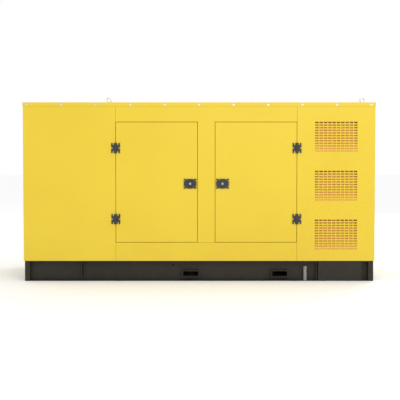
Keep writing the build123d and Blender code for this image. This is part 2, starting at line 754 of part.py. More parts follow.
def door_lining(side):
    """Foam slab in the back of the door pan, cut round the latch."""
    plane = front_plane(DOOR_X[side], OPENING_MIDDLE, SHEET)
    with BuildPart() as foam:
        with BuildSketch(plane):
            RectangleRounded(DOOR_WIDTH - 60, DOOR_HEIGHT - 60, 10)
            with Locations((LATCH_X[side] - DOOR_X[side], LATCH_Z - OPENING_MIDDLE)):
                Rectangle(90, 90, mode=Mode.SUBTRACT)
        extrude(amount=-LINING)
    return foam.part


def leaf_outline(turn):
    """Butterfly half of a hinge: ears at top and bottom, notches beside the barrel and at mid height."""
    with BuildSketch() as leaf:
        with Locations((turn * (HINGE_REACH + HINGE_ROOT) / 2, 0)):
            Rectangle(HINGE_REACH - HINGE_ROOT, HINGE_HEIGHT)
        with Locations(*[(turn * HINGE_NOTCH_X, z) for z in (-HINGE_HEIGHT / 2, HINGE_HEIGHT / 2)]):
            Rectangle(HINGE_NOTCH_WIDTH, 2 * HINGE_NOTCH_DEPTH, mode=Mode.SUBTRACT)
        with Locations((turn * HINGE_REACH, 0)):
            Rectangle(1.4 * HINGE_NOTCH_DEPTH, HINGE_NOTCH_WIDTH, mode=Mode.SUBTRACT)
        fillet(leaf.vertices(), 2)
    return leaf.sketch


def hinge_leaf(plane, knuckles, turn):
    """One leaf screwed to the skin, with its knuckles on the pin; turn is the side of the barrel."""
    pin_centre = plane.origin + plane.z_dir * HINGE_STANDOFF
    pin_plane = Plane(pin_centre, x_dir=plane.x_dir, z_dir=plane.y_dir)
    with BuildPart() as leaf:
        with BuildSketch(plane):
            add(leaf_outline(turn))
        extrude(amount=HINGE_THICK)
        for low, high in knuckles:
            with BuildSketch(pin_plane.offset(low)):
                Circle(HINGE_BARREL)
                with Locations((turn * (HINGE_ROOT + 1) / 2, HINGE_STANDOFF - HINGE_THICK / 2)):
                    Rectangle(HINGE_ROOT + 1, HINGE_THICK)
            extrude(amount=high - low)
        with BuildSketch(pin_plane.offset(-HINGE_HEIGHT / 2 - 1)):
            Circle(HINGE_PIN + HINGE_RUN)
        extrude(amount=HINGE_HEIGHT + 2, mode=Mode.SUBTRACT)
        with BuildSketch(plane.offset(HINGE_THICK)):
            with Locations(*[(turn * (HINGE_REACH - 8), z) for z in (-34, 34)]):
                Circle(3)
        extrude(amount=-2, mode=Mode.SUBTRACT)
    return leaf.part


def hinge_pin(plane):
    """Pin with a shallow head at each end, held by the outer knuckles."""
    pin_centre = plane.origin + plane.z_dir * HINGE_STANDOFF
    pin_plane = Plane(pin_centre, x_dir=plane.x_dir, z_dir=plane.y_dir)
    with BuildPart() as pin:
        with BuildSketch(pin_plane.offset(-HINGE_HEIGHT / 2)):
            Circle(HINGE_PIN)
        extrude(amount=HINGE_HEIGHT)
        for z, rise in ((HINGE_HEIGHT / 2, 2), (-HINGE_HEIGHT / 2, -2)):
            with BuildSketch(pin_plane.offset(z)):
                Circle(HINGE_PIN + 3)
            extrude(amount=rise)
    return pin.part


def latch_plate(plane):
    """Die-cast escutcheon with eared corners and a round dish for the turning knob."""
    with BuildPart() as plate:
        with BuildSketch(plane):
            Rectangle(LATCH_WIDTH, LATCH_HEIGHT)
            with GridLocations(LATCH_WIDTH, 0.62 * LATCH_HEIGHT, 2, 2):
                Rectangle(2 * 12, 10, mode=Mode.SUBTRACT)
            with GridLocations(0.52 * LATCH_WIDTH, LATCH_HEIGHT, 2, 2):
                Rectangle(10, 2 * 8, mode=Mode.SUBTRACT)
        extrude(amount=LATCH_THICK)
        fillet(plate.faces().sort_by(Axis(plane.origin, plane.z_dir))[-1].edges(), 1.5)
        with BuildSketch(plane.offset(LATCH_THICK)):
            Circle(LATCH_DISH + 5)
            Circle(LATCH_DISH, mode=Mode.SUBTRACT)
        extrude(amount=3)
        with BuildSketch(plane.offset(LATCH_THICK)):
            Circle(LATCH_DISH)
        extrude(amount=-5, mode=Mode.SUBTRACT)
        with BuildSketch(plane):
            Circle(SPINDLE + LATCH_RUN)
        extrude(amount=LATCH_THICK, mode=Mode.SUBTRACT)
    return plate.part


def latch_turn(plane, cam_up, depth):
    """Turning knob, its spindle through the door and the cam behind the frame."""
    seat = plane.offset(LATCH_THICK - 5 + LATCH_RUN)
    with BuildPart() as turn:
        with BuildSketch(seat):
            Circle(LATCH_KNOB)
        extrude(amount=5)
        with BuildSketch(seat.offset(5)):
            Circle(LATCH_KNOB - 4)
            Rectangle(2 * LATCH_KNOB - 4, 11)
        extrude(amount=5)
        fillet(turn.faces().sort_by(Axis(plane.origin, plane.z_dir))[-1].edges(), 1)
        with BuildSketch(seat):
            Circle(SPINDLE)
        extrude(amount=-(depth + LATCH_THICK - 5 + LATCH_RUN))
        with BuildSketch(plane.offset(-depth)):
            with Locations((0, cam_up * (CAM_REACH - 12) / 2)):
                SlotCenterToCenter(CAM_REACH - 12, 24, rotation=90)
        extrude(amount=CAM_THICK)
    return turn.part


def hinge_planes(side):
    """Planes of the two hinges of a front door, at the middle of its outer gap."""
    outer = -1 if side == "left" else 1
    x = DOOR_X[side] + outer * (DOOR_WIDTH + DOOR_GAP) / 2
    return [front_plane(x, z) for z in HINGE_Z]


def knuckle_spans():
    """Heights of the frame's two knuckles and of the door's middle one."""
    third = HINGE_HEIGHT / 3
    half = HINGE_HEIGHT / 2
    frame_spans = ((-half, -half + third), (half - third, half))
    door_spans = ((-half + third + KNUCKLE_GAP, half - third - KNUCKLE_GAP),)
    return frame_spans, door_spans


def door_fittings(side):
    """Hinge leaves and latch plate screwed to one front door."""
    inward = 1 if side == "left" else -1
    pieces = [hinge_leaf(plane, knuckle_spans()[1], inward) for plane in hinge_planes(side)]
    pieces.append(latch_plate(front_plane(LATCH_X[side], LATCH_Z)))
    return pieces


def frame_leaves(side):
    """Hinge leaves and pins on the canopy side of one front door."""
    outward = -1 if side == "left" else 1
    pieces = []
    for plane in hinge_planes(side):
        pieces.append(hinge_leaf(plane, knuckle_spans()[0], outward))
        pieces.append(hinge_pin(plane))
    return pieces


# ---------------------------------------------------------------- control end
def control_hinge_planes():
    """Planes of the two hinges of the control door, at its left edge seen from the end."""
    y = CONTROL_Y - (CONTROL_WIDTH + DOOR_GAP) / 2
    return [end_plane(1, y, CONTROL_Z + z) for z in (-CONTROL_HINGE_Z, CONTROL_HINGE_Z)]


def control_door():
    """Folded door with a window opening over the instruments."""
    plane = end_plane(1, CONTROL_Y, CONTROL_Z)
    pan = folded_pan(plane, plain_outline(CONTROL_WIDTH, CONTROL_HEIGHT), CONTROL_DEPTH)
    with BuildPart() as door:
        add(pan)
        with BuildSketch(plane.offset(-2 * SHEET)):
            with Locations((0, WINDOW_RISE)):
                RectangleRounded(WINDOW_WIDTH, WINDOW_HEIGHT, 12)
            with Locations((CONTROL_LATCH_Y - CONTROL_Y, CONTROL_LATCH_Z - CONTROL_Z)):
                Circle(SPINDLE + 1)
        extrude(amount=3 * SHEET, mode=Mode.SUBTRACT)
    return door.part


def control_window():
    """Clear pane behind the door's opening."""
    with BuildPart() as pane:
        with BuildSketch(end_plane(1, CONTROL_Y, CONTROL_Z + WINDOW_RISE, SHEET)):
            RectangleRounded(WINDOW_WIDTH + 24, WINDOW_HEIGHT + 24, 16)
        extrude(amount=-4)
    return pane.part


def control_cabinet():
    """Open-fronted steel box inside the control door, its face carrying the instruments."""
    with BuildPart() as cabinet:
        with BuildSketch(Plane.YZ.offset(CABINET_X[1])):
            with Locations((CONTROL_Y, CONTROL_Z)):
                Rectangle(CABINET_WIDTH, CABINET_HEIGHT)
        extrude(amount=CABINET_X[0] - CABINET_X[1])
        with BuildSketch(Plane.YZ.offset(CABINET_X[1] - SHEET)):
            with Locations((CONTROL_Y, CONTROL_Z)):
                Rectangle(CABINET_WIDTH - 2 * SHEET, CABINET_HEIGHT - 2 * SHEET)
        extrude(amount=CABINET_FACE - CABINET_X[1] + SHEET, mode=Mode.SUBTRACT)
        with BuildSketch(Plane.YZ.offset(CABINET_X[1] + 1)):
            with Locations((CONTROL_Y, CONTROL_Z)):
                Rectangle(CABINET_WIDTH - 2 * CABINET_RIM, CABINET_HEIGHT - 2 * CABINET_RIM)
        extrude(amount=-SHEET - 2, mode=Mode.SUBTRACT)
        with BuildSketch(Plane.YZ.offset(CABINET_FACE - SHEET)):
            with Locations((CONTROL_Y, CONTROL_Z)):
                Rectangle(CABINET_WIDTH - 2 * SHEET, CABINET_HEIGHT - 2 * SHEET)
        extrude(amount=CABINET_X[0] + SHEET - CABINET_FACE + SHEET, mode=Mode.SUBTRACT)
        with BuildSketch(Plane.YZ.offset(CABINET_FACE + 1)):
            with Locations((STOP_Y, STOP_Z)):
                Circle(STOP_SHANK + LATCH_RUN)
            with Locations((BREAKER_Y, BREAKER_Z)):
                Rectangle(BREAKER_WIDTH - 10, BREAKER_HEIGHT - 10)
        extrude(amount=-SHEET - 2, mode=Mode.SUBTRACT)
    return cabinet.part


def controller():
    """Controller with a screen recess and membrane keys printed flat, so nothing on it travels."""
    face = Plane(origin=(CABINET_FACE, CONTROL_Y + 20, CONTROLLER_Z), x_dir=(0, 1, 0), z_dir=(1, 0, 0))
    with BuildPart() as unit:
        with BuildSketch(face):
            RectangleRounded(240, 172, 10)
        extrude(amount=14)
        fillet(unit.faces().sort_by(Axis.X)[-1].edges(), 3)
        with BuildSketch(face.offset(14)):
            with Locations((0, 26)):
                RectangleRounded(120, 72, 4)
        extrude(amount=-2, mode=Mode.SUBTRACT)
        with BuildSketch(face.offset(14)):
            with Locations((0, -50)):
                with GridLocations(38, 0, 6, 1):
                    RectangleRounded(28, 22, 4)
        extrude(amount=0.8)
    return unit.part


def emergency_stop():
    """Mushroom button on a shank through the cabinet face."""
    face = Plane(origin=(CABINET_FACE, STOP_Y, STOP_Z), x_dir=(0, 1, 0), z_dir=(1, 0, 0))
    with BuildPart() as button:
        with BuildSketch(face.offset(-12)):
            Circle(STOP_SHANK)
        extrude(amount=12 + 10)
        with BuildSketch(face.offset(10)):
            Circle(20)
        extrude(amount=14)
        fillet(button.faces().sort_by(Axis.X)[-1].edges(), 7)
    return button.part


def breaker():
    """Moulded-case breaker standing through the cabinet face."""
    face = Plane(origin=(CABINET_FACE, BREAKER_Y, BREAKER_Z), x_dir=(0, 1, 0), z_dir=(1, 0, 0))
    with BuildPart() as case:
        with BuildSketch(face):
            Rectangle(BREAKER_WIDTH, BREAKER_HEIGHT)
        extrude(amount=12)
        with BuildSketch(face):
            Rectangle(BREAKER_WIDTH - 12, BREAKER_HEIGHT - 12)
        extrude(amount=-60)
        with BuildSketch(face.offset(12)):
            Rectangle(30, 74)
        extrude(amount=-26, mode=Mode.SUBTRACT)
        pivot = Plane(origin=(CABINET_FACE - 4, BREAKER_Y, BREAKER_Z), x_dir=(1, 0, 0), z_dir=(0, 1, 0))
        with BuildSketch(pivot.offset(-20)):
            Circle(3)
        extrude(amount=40)
    return case.part


def breaker_toggle():
    """Handle of the breaker, turning on the case's cross pin."""
    pivot = Plane(origin=(CABINET_FACE - 4, BREAKER_Y, BREAKER_Z), x_dir=(1, 0, 0), z_dir=(0, 1, 0))
    with BuildPart() as toggle:
        with BuildSketch(pivot.offset(-11)):
            Circle(8)
            with Locations((19, 0)):
                Rectangle(38, 12)
            Circle(3 + HINGE_RUN, mode=Mode.SUBTRACT)
        extrude(amount=22)
        fillet(toggle.faces().sort_by(Axis.X)[-1].edges(), 2)
    return toggle.part


# ---------------------------------------------------------------- engine and generator
def round_bar(x, radius, y=0, z=0, hole=0):
    """Cylinder or tube along X between two limits."""
    with BuildPart() as bar:
        with BuildSketch(Plane.YZ.offset(x[0])):
            with Locations((y, z)):
                Circle(radius)
                if hole:
                    Circle(hole, mode=Mode.SUBTRACT)
        extrude(amount=x[1] - x[0])
    return bar.part


def engine_block():
    """Cylinder block with crankcase, timing cover, flywheel housing and front feet."""
    skirt = box((BLOCK_X[0], BLOCK_X[1]), (-SKIRT_SIDE, SKIRT_SIDE), (SUMP_TOP, SKIRT_TOP))
    upper = box((BLOCK_X[0], BLOCK_X[1]), (-BLOCK_SIDE, BLOCK_SIDE), (SKIRT_TOP, BLOCK_TOP))
    cover_x = (BLOCK_X[0] - COVER_THICK, BLOCK_X[0])
    cover = box(cover_x, (-SKIRT_SIDE + 20, SKIRT_SIDE - 20), (SUMP_TOP + 10, BLOCK_TOP - 10))
    bell = round_bar((BLOCK_X[1], BELL_END), BELL_RADIUS, 0, CRANK_Z)
    bell_hollow = round_bar((BLOCK_X[1] + 20, BELL_END), BELL_RADIUS - 20, 0, CRANK_Z)
    pocket = (BLOCK_X[0] + 30, BLOCK_X[1] - 30)
    crankcase = box(pocket, (-CRANKCASE_SIDE, CRANKCASE_SIDE), (SUMP_TOP, CRANK_Z + CRANKCASE_SIDE))
    bearing = round_bar((cover_x[0] - 10, BLOCK_X[1] + 30), SHAFT_RADIUS + 1, 0, CRANK_Z)
    pump = round_bar((cover_x[0] - 20, cover_x[0]), 50, 0, FAN_Z)
    pump_hole = round_bar((cover_x[0] - 21, BLOCK_X[0]), FAN_SHAFT + HINGE_RUN, 0, FAN_Z)
    with BuildPart() as block:
        add([skirt, upper, cover, bell, pump])
        add([bell_hollow, crankcase, bearing, pump_hole], mode=Mode.SUBTRACT)
        with BuildSketch(Plane.XY.offset(BLOCK_TOP)):
            with Locations(((BLOCK_X[0] + BLOCK_X[1]) / 2, 0)):
                with GridLocations(BORE_PITCH, 0, CYLINDERS, 1):
                    Circle(BORE / 2)
        extrude(amount=CRANK_Z + CRANKCASE_SIDE - BLOCK_TOP, mode=Mode.SUBTRACT)
        for side in (-1, 1):
            foot = sorted((side * SKIRT_SIDE, side * (MOUNT_ENGINE_Y + 35)))
            rib = sorted((side * SKIRT_SIDE, side * (SKIRT_SIDE + 20)))
            span = (ENGINE_FOOT_X - 40, ENGINE_FOOT_X + 40)
            add(box(span, foot, (MOUNT_TOP, MOUNT_TOP + 20)))
            add(box(span, rib, (MOUNT_TOP, SKIRT_TOP - 40)))
    return block.part


def cylinder_head():
    """Head on the block and the ribbed valve cover on the head."""
    with BuildPart() as head:
        with BuildSketch(Plane.XY.offset(BLOCK_TOP)):
            with Locations(((BLOCK_X[0] + BLOCK_X[1]) / 2, 0)):
                RectangleRounded(BLOCK_X[1] - BLOCK_X[0] - 20, 2 * BLOCK_SIDE - 20, 10)
        extrude(amount=HEAD_HEIGHT)
    with BuildPart() as cover:
        with BuildSketch(Plane.XY.offset(BLOCK_TOP + HEAD_HEIGHT)):
            with Locations(((BLOCK_X[0] + BLOCK_X[1]) / 2, 10)):
                RectangleRounded(BLOCK_X[1] - BLOCK_X[0] - 80, 190, 30)
        extrude(amount=COVER_HEIGHT)
        fillet(cover.faces().sort_by(Axis.Z)[-1].edges(), 14)
        with BuildSketch(Plane.XY.offset(BLOCK_TOP + HEAD_HEIGHT + COVER_HEIGHT)):
            with Locations((BLOCK_X[0] + 200, 10)):
                Circle(30)
        extrude(amount=24)
    return group([head.part, cover.part])


def oil_sump():
    """Pressed pan bolted under the block."""
    with BuildPart() as sump:
        with BuildSketch(Plane.XY.offset(SUMP_TOP)):
            with Locations(((BLOCK_X[0] + BLOCK_X[1]) / 2, 0)):
                Rectangle(BLOCK_X[1] - BLOCK_X[0] - 20, 2 * SKIRT_SIDE - 30)
        extrude(amount=-SUMP_DEPTH)
        offset(amount=-3, openings=sump.faces().sort_by(Axis.Z)[-1])
    return sump.part


def crank_train():
    """Crankshaft with webs, front pulley, flywheel and generator rotor, turning as one."""
    pieces = [
        round_bar(PULLEY_X, CRANK_PULLEY, 0, CRANK_Z),
        round_bar((PULLEY_X[1], BELL_END), SHAFT_RADIUS, 0, CRANK_Z),
        round_bar((BLOCK_X[1] + 30, BLOCK_X[1] + 70), FLYWHEEL_RADIUS, 0, CRANK_Z),
        round_bar((BELL_END, GENERATOR_X[1] + 10), ROTOR_SHAFT, 0, CRANK_Z),
        round_bar(ROTOR_X, ROTOR_RADIUS, 0, CRANK_Z),
    ]
    middle = (BLOCK_X[0] + BLOCK_X[1]) / 2
    for n in range(CYLINDERS):
        x = middle + (n - (CYLINDERS - 1) / 2) * BORE_PITCH
        pieces.append(round_bar((x - 40, x - 22), 78, 0, CRANK_Z))
        pieces.append(round_bar((x + 22, x + 40), 78, 0, CRANK_Z))
    with BuildPart() as train:
        add(pieces)
    return train.part


def cooling_fan():
    """Eight-bladed fan with its hub, pulley and water pump shaft."""
    pieces = [
        round_bar(FAN_X, 62, 0, FAN_Z),
        round_bar((FAN_X[1], PULLEY_X[1]), 22, 0, FAN_Z),
        round_bar(PULLEY_X, FAN_PULLEY, 0, FAN_Z),
        round_bar((PULLEY_X[1], BLOCK_X[0] - 4), FAN_SHAFT, 0, FAN_Z),
    ]
    middle = (FAN_X[0] + FAN_X[1]) / 2
    with BuildPart() as fan:
        add(pieces)
        for n in range(FAN_BLADES):
            turn = 2 * pi * n / FAN_BLADES
            radial = Vector(0, cos(turn), sin(turn))
            around = Vector(0, -sin(turn), cos(turn))
            for radius, width, pitch in ((50, 46, 55), (FAN_RADIUS - 4, 62, 35)):
                chord = around * cos(radians(pitch)) + Vector(1, 0, 0) * sin(radians(pitch))
                place = Vector(middle, 0, FAN_Z) + radial * radius
                with BuildSketch(Plane(origin=place, x_dir=chord, z_dir=radial)):
                    Rectangle(width, 4)
            loft()
    return fan.part


def fan_belt():
    """Flat-topped V-belt round the crank and fan pulleys."""
    plane = Plane.YZ.offset(PULLEY_X[0] + 10)
    with BuildPart() as belt:
        with BuildSketch(plane):
            with Locations((0, CRANK_Z)):
                Circle(CRANK_PULLEY + BELT_CLEAR + BELT_THICK)
            with Locations((0, FAN_Z)):
                Circle(FAN_PULLEY + BELT_CLEAR + BELT_THICK)
            make_hull()
        extrude(amount=20)
        with BuildSketch(plane):
            with Locations((0, CRANK_Z)):
                Circle(CRANK_PULLEY + BELT_CLEAR)
            with Locations((0, FAN_Z)):
                Circle(FAN_PULLEY + BELT_CLEAR)
            make_hull()
        extrude(amount=20, mode=Mode.SUBTRACT)
    return belt.part


def generator():
    """Alternator housing with its stator, end shield, terminal box and feet."""
    with BuildPart() as housing:
        add(round_bar(GENERATOR_X, GENERATOR_RADIUS, 0, CRANK_Z, GENERATOR_RADIUS - 15))
        end_cover = (GENERATOR_X[1] - 20, GENERATOR_X[1])
        add(round_bar(end_cover, GENERATOR_RADIUS, 0, CRANK_Z, ROTOR_SHAFT + 1))
        for side in (-1, 1):
            foot = sorted((side * 120, side * (MOUNT_GENERATOR_Y + 40)))
            web = sorted((side * 170, side * 200))
            span = (GENERATOR_FOOT_X - 60, GENERATOR_FOOT_X + 60)
            add(box(span, foot, (MOUNT_TOP, MOUNT_TOP + 20)))
            add(box(span, web, (MOUNT_TOP, CRANK_Z - 150)))
    winding_x = (ROTOR_X[0] - 10, ROTOR_X[1] + 10)
    stator = round_bar(winding_x, GENERATOR_RADIUS - 15, 0, CRANK_Z, ROTOR_RADIUS + 4)
    top = CRANK_Z + GENERATOR_RADIUS
    with BuildPart() as terminals:
        with BuildSketch(Plane.XY.offset(top - 30)):
            with Locations((1120, 0)):
                RectangleRounded(280, 320, 12)
        extrude(amount=200)
        fillet(terminals.faces().sort_by(Axis.Z)[-1].edges(), 6)
        add(round_bar(GENERATOR_X, GENERATOR_RADIUS, 0, CRANK_Z), mode=Mode.SUBTRACT)
    return group([housing.part, stator, terminals.part])


def radiator():
    """Core between two tanks, side frames down to the skid, and the fan shroud."""
    x = (BULKHEAD_X, BULKHEAD_X + CORE_THICK)
    half = CORE_WIDTH / 2
    core = box(x, (-half, half), (CORE_FOOT, CORE_TOP))
    top_tank = box(x, (-half, half), (CORE_TOP, CORE_TOP + 100))
    low_tank = box(x, (-half, half), (CORE_FOOT - 80, CORE_FOOT))
    pieces = [core, top_tank, low_tank]
    for side in (-1, 1):
        limits = sorted((side * half, side * (half + 20)))
        pieces.append(box(x, limits, (BASE_HEIGHT, CORE_TOP + 100)))
    plate = (x[1], x[1] + 3)
    with BuildPart() as shroud:
        add(box(plate, (-half, half), (CORE_FOOT, CORE_TOP)))
        add(round_bar((plate[1], FAN_X[1] - 10), FAN_RADIUS + 15, 0, FAN_Z))
        add(round_bar((x[1] - 1, FAN_X[1] + 5), FAN_RADIUS + 12, 0, FAN_Z), mode=Mode.SUBTRACT)
    pieces.append(shroud.part)
    return group(pieces)


def bent_pipe(points, radius, bend):
    """Round hose or pipe along straight runs joined by arcs."""
    with BuildPart() as pipe:
        with BuildLine() as path:
            FilletPolyline(*points, radius=bend)
        with BuildSketch(Plane(origin=path.line @ 0, z_dir=path.line % 0)):
            Circle(radius)
        sweep(path=path.line)
    return pipe.part


def coolant_hoses():
    """Top and bottom hoses between the radiator and the engine."""
    face = BULKHEAD_X + CORE_THICK
    head_face = BLOCK_X[0] + 10
    cover_face = BLOCK_X[0] - COVER_THICK
    top = ((face, 200, 1310), (-610, 200, 1310), (-560, 110, 930), (head_face, 110, 930))
    low = ((face + 3, -380, 440), (-620, -380, 440), (-570, -140, 500), (cover_face, -140, 500))
    return group([bent_pipe(top, 24, 40), bent_pipe(low, 24, 40)])


def exhaust_system():
    """Manifold on the head, riser, silencer in the discharge space and tail pipe through the roof."""
    manifold = box((-400, 450), (BLOCK_SIDE - 10, BLOCK_SIDE + 80), (BLOCK_TOP + 15, BLOCK_TOP + 85))
    riser = bent_pipe(
        (
            (-380, EXHAUST_Y, BLOCK_TOP + 85),
            (-380, EXHAUST_Y, EXHAUST_Z),
            (SILENCER_X[1], EXHAUST_Y, EXHAUST_Z),
        ),
        EXHAUST_RADIUS,
        90,
    )
    with BuildPart() as silencer:
        add(round_bar(SILENCER_X, SILENCER_RADIUS, EXHAUST_Y, EXHAUST_Z))
        fillet(silencer.edges().filter_by(GeomType.CIRCLE), 20)
        for x in (SILENCER_X[0] + 120, SILENCER_X[1] - 120):
            strap = (EXHAUST_Y - 4, EXHAUST_Y + 4)
            add(box((x - 20, x + 20), strap, (EXHAUST_Z + SILENCER_RADIUS - 5, PANEL_TOP)))
        with BuildSketch(Plane((TAIL_X, TAIL_Y, EXHAUST_Z))):
            Circle(TAIL_RADIUS)
        extrude(amount=ROOF_TOP + TAIL_RISE - EXHAUST_Z)
        with BuildSketch(Plane((TAIL_X, TAIL_Y, ROOF_TOP + TAIL_RISE))):
            Circle(TAIL_RADIUS - 3)
        extrude(amount=-120, mode=Mode.SUBTRACT)
    return group([manifold, riser, silencer.part])


def air_cleaner():
    """Canister on a bracket over the valve cover, with its duct to the intake side."""
    deck = BLOCK_TOP + HEAD_HEIGHT + COVER_HEIGHT
    z = deck + 150
    canister = round_bar((100, 460), 110, -60, z)
    bracket = box((240, 320), (-90, -20), (deck, z - 105))
    intake_y = -BLOCK_SIDE - 40
    duct = bent_pipe(
        ((100, -60, z), (0, -60, z), (0, intake_y, z - 60), (0, intake_y, BLOCK_TOP + 70)),
        32,
        45,
    )
    with BuildPart() as cleaner:
        add(canister)
        fillet(cleaner.edges().filter_by(GeomType.CIRCLE), 10)
        add(bracket)
    return group([cleaner.part, duct])


def battery():
    """Starting battery on a tray across the skid, with two posts."""
    y = (-528, -368)
    tray = box((250, 670), y, (BASE_HEIGHT, BASE_HEIGHT + 8))
    with BuildPart() as case:
        with BuildSketch(Plane((460, sum(y) / 2, BASE_HEIGHT + 8))):
            RectangleRounded(380, 145, 6)
        extrude(amount=210)
        with BuildSketch(Plane((460, sum(y) / 2, BASE_HEIGHT + 218))):
            with GridLocations(300, 0, 2, 1):
                Circle(9)
        extrude(amount=18)
    return group([tray, case.part])


def vibration_mounts():
    """Rubber mounts between the skid and the feet of the engine and generator."""
    mounts = []
    for x, y in ((ENGINE_FOOT_X, MOUNT_ENGINE_Y), (GENERATOR_FOOT_X, MOUNT_GENERATOR_Y)):
        for side in (-1, 1):
            with BuildPart() as mount:
                with BuildSketch(Plane((x, side * y, BASE_HEIGHT))):
                    Circle(MOUNT_RADIUS)
                extrude(amount=MOUNT_HEIGHT / 2, taper=MOUNT_TAPER)
                with BuildSketch(Plane((x, side * y, MOUNT_TOP), z_dir=(0, 0, -1))):
                    Circle(MOUNT_RADIUS)
                extrude(amount=MOUNT_HEIGHT / 2, taper=MOUNT_TAPER)
            mounts.append(mount.part)
    return group(mounts)


def engine_accessories():
    """Intake manifold, injection pump, two filters and the starter motor."""
    pieces = [
        box((-400, 450), (-BLOCK_SIDE - 75, -BLOCK_SIDE + 10), (BLOCK_TOP + 10, BLOCK_TOP + 70)),
        box((-150, 150), (-BLOCK_SIDE - 90, -BLOCK_SIDE), (SKIRT_TOP + 20, SKIRT_TOP + 130)),
        round_bar((BLOCK_X[1] - 220, BLOCK_X[1]), 45, SKIRT_SIDE + 46, 520),
    ]
    for x in (240, 360):
        with BuildPart() as filter_can:
            with BuildSketch(Plane((x, -SKIRT_SIDE - 45, SKIRT_TOP - 130))):
                Circle(45)
            extrude(amount=140)
            fillet(filter_can.faces().sort_by(Axis.Z)[0].edges(), 10)
        pieces.append(filter_can.part)
    return group(pieces)


# ---------------------------------------------------------------- the assembly
save(skid_frame(), "skid_frame")
save(fork_pockets(), "fork_pockets")
save(fuel_tank(), "fuel_tank")
save(fuel_cap(), "fuel_cap")
save(earth_terminal(), "earth_terminal")
save(weather_seals(), "weather_seals")
save(inner_frames(), "inner_frames")
save(air_baffles(), "air_baffles")
save(canopy_lining(), "canopy_lining")
save(end_panel_left(), "end_panel_left")
save(end_panel_right(), "end_panel_right")
save(roof(), "roof")
save(roof_bolts(), "roof_bolts")
save(lifting_eyes(), "lifting_eyes")

side_pieces = {
    "panel_left": panel_front(-HALF_LENGTH, SEAM_LEFT, False),
    "panel_right": panel_front(SEAM_RIGHT, HALF_LENGTH, True),
    "door_surround": door_surround(),
}
leaves = []
for side in ("left", "right"):
    latch_plane = front_plane(LATCH_X[side], LATCH_Z)
    side_pieces[f"door_{side}"] = door_skin(side)
    side_pieces[f"door_lining_{side}"] = door_lining(side)
    side_pieces[f"door_fittings_{side}"] = group(door_fittings(side))
    side_pieces[f"latch_{side}"] = latch_turn(latch_plane, 1, CAM_DEPTH)
    leaves.extend(frame_leaves(side))

for name, shape in side_pieces.items():
    save(shape, f"{name}_front")
    save(mirror(shape, about=Plane.XZ), f"{name}_rear")

save(control_door(), "control_door")
save(control_window(), "control_window")
control_planes = control_hinge_planes()
control_latch_plane = end_plane(1, CONTROL_LATCH_Y, CONTROL_LATCH_Z)
door_side = [hinge_leaf(plane, knuckle_spans()[1], 1) for plane in control_planes]
save(group([*door_side, latch_plate(control_latch_plane)]), "control_door_fittings")
save(latch_turn(control_latch_plane, 1, CONTROL_CAM_DEPTH), "control_door_latch")
for plane in control_planes:
    leaves.append(hinge_leaf(plane, knuckle_spans()[0], -1))
    leaves.append(hinge_pin(plane))
rear_leaves = [mirror(leaf, about=Plane.XZ) for leaf in leaves[: -2 * len(control_planes)]]
save(group([*leaves, *rear_leaves]), "hinge_frame_leaves")

save(control_cabinet(), "control_cabinet")
save(controller(), "controller")
save(emergency_stop(), "emergency_stop")
save(breaker(), "breaker")
save(breaker_toggle(), "breaker_toggle")
save(engine_block(), "engine_block")
save(cylinder_head(), "cylinder_head")
save(oil_sump(), "oil_sump")
save(crank_train(), "crank_train")
save(cooling_fan(), "cooling_fan")
save(fan_belt(), "fan_belt")
save(generator(), "generator")
save(radiator(), "radiator")
save(coolant_hoses(), "coolant_hoses")
save(exhaust_system(), "exhaust_system")
save(air_cleaner(), "air_cleaner")
save(battery(), "battery")
save(vibration_mounts(), "vibration_mounts")
save(engine_accessories(), "engine_accessories")
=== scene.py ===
import json
from math import cos, pi, radians, sin, tan

import bmesh
import bpy
import numpy as np
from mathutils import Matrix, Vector


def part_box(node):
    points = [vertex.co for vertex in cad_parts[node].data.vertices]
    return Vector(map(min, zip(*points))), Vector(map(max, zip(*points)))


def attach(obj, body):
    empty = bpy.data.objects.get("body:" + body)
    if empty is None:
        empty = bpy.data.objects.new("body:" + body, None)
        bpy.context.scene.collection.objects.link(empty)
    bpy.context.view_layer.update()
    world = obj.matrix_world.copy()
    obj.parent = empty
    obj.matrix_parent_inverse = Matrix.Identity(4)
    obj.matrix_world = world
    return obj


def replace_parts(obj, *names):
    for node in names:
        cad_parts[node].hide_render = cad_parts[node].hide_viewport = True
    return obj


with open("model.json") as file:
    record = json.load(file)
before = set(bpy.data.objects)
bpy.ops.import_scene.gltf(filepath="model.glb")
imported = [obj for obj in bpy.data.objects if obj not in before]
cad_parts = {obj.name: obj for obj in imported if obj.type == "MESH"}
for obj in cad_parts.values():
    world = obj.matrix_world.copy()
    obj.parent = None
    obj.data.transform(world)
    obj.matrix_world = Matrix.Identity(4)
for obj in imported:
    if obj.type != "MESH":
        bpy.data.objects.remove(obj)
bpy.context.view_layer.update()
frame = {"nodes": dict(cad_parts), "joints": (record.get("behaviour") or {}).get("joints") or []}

# The set as it comes from the frame, and the scene that later sections add to.
nodes = frame["nodes"]
scene = bpy.context.scene


# ---------------------------------------------------------------- studio
# A white cyclorama floor and a wide soft sky. A large soft key stands high in front to the right,
# so the folded edges and the door gaps read, as in a catalogue picture.
def studio_floor():
    """A flat square far larger than the set, on the level the skid stands on."""
    mesh = bpy.data.meshes.new("studio_floor")
    reach = 60.0
    corners = [(-reach, -reach, 0), (reach, -reach, 0), (reach, reach, 0), (-reach, reach, 0)]
    mesh.from_pydata(corners, [], [(0, 1, 2, 3)])
    floor = bpy.data.objects.new("studio_floor", mesh)
    scene.collection.objects.link(floor)
    paper = bpy.data.materials.new("studio_paper")
    paper.use_nodes = True
    shader = paper.node_tree.nodes["Principled BSDF"]
    shader.inputs["Base Color"].default_value = (0.96, 0.96, 0.96, 1)
    shader.inputs["Roughness"].default_value = 0.9
    shader.inputs["Specular IOR Level"].default_value = 0.1
    mesh.materials.append(paper)
    return floor


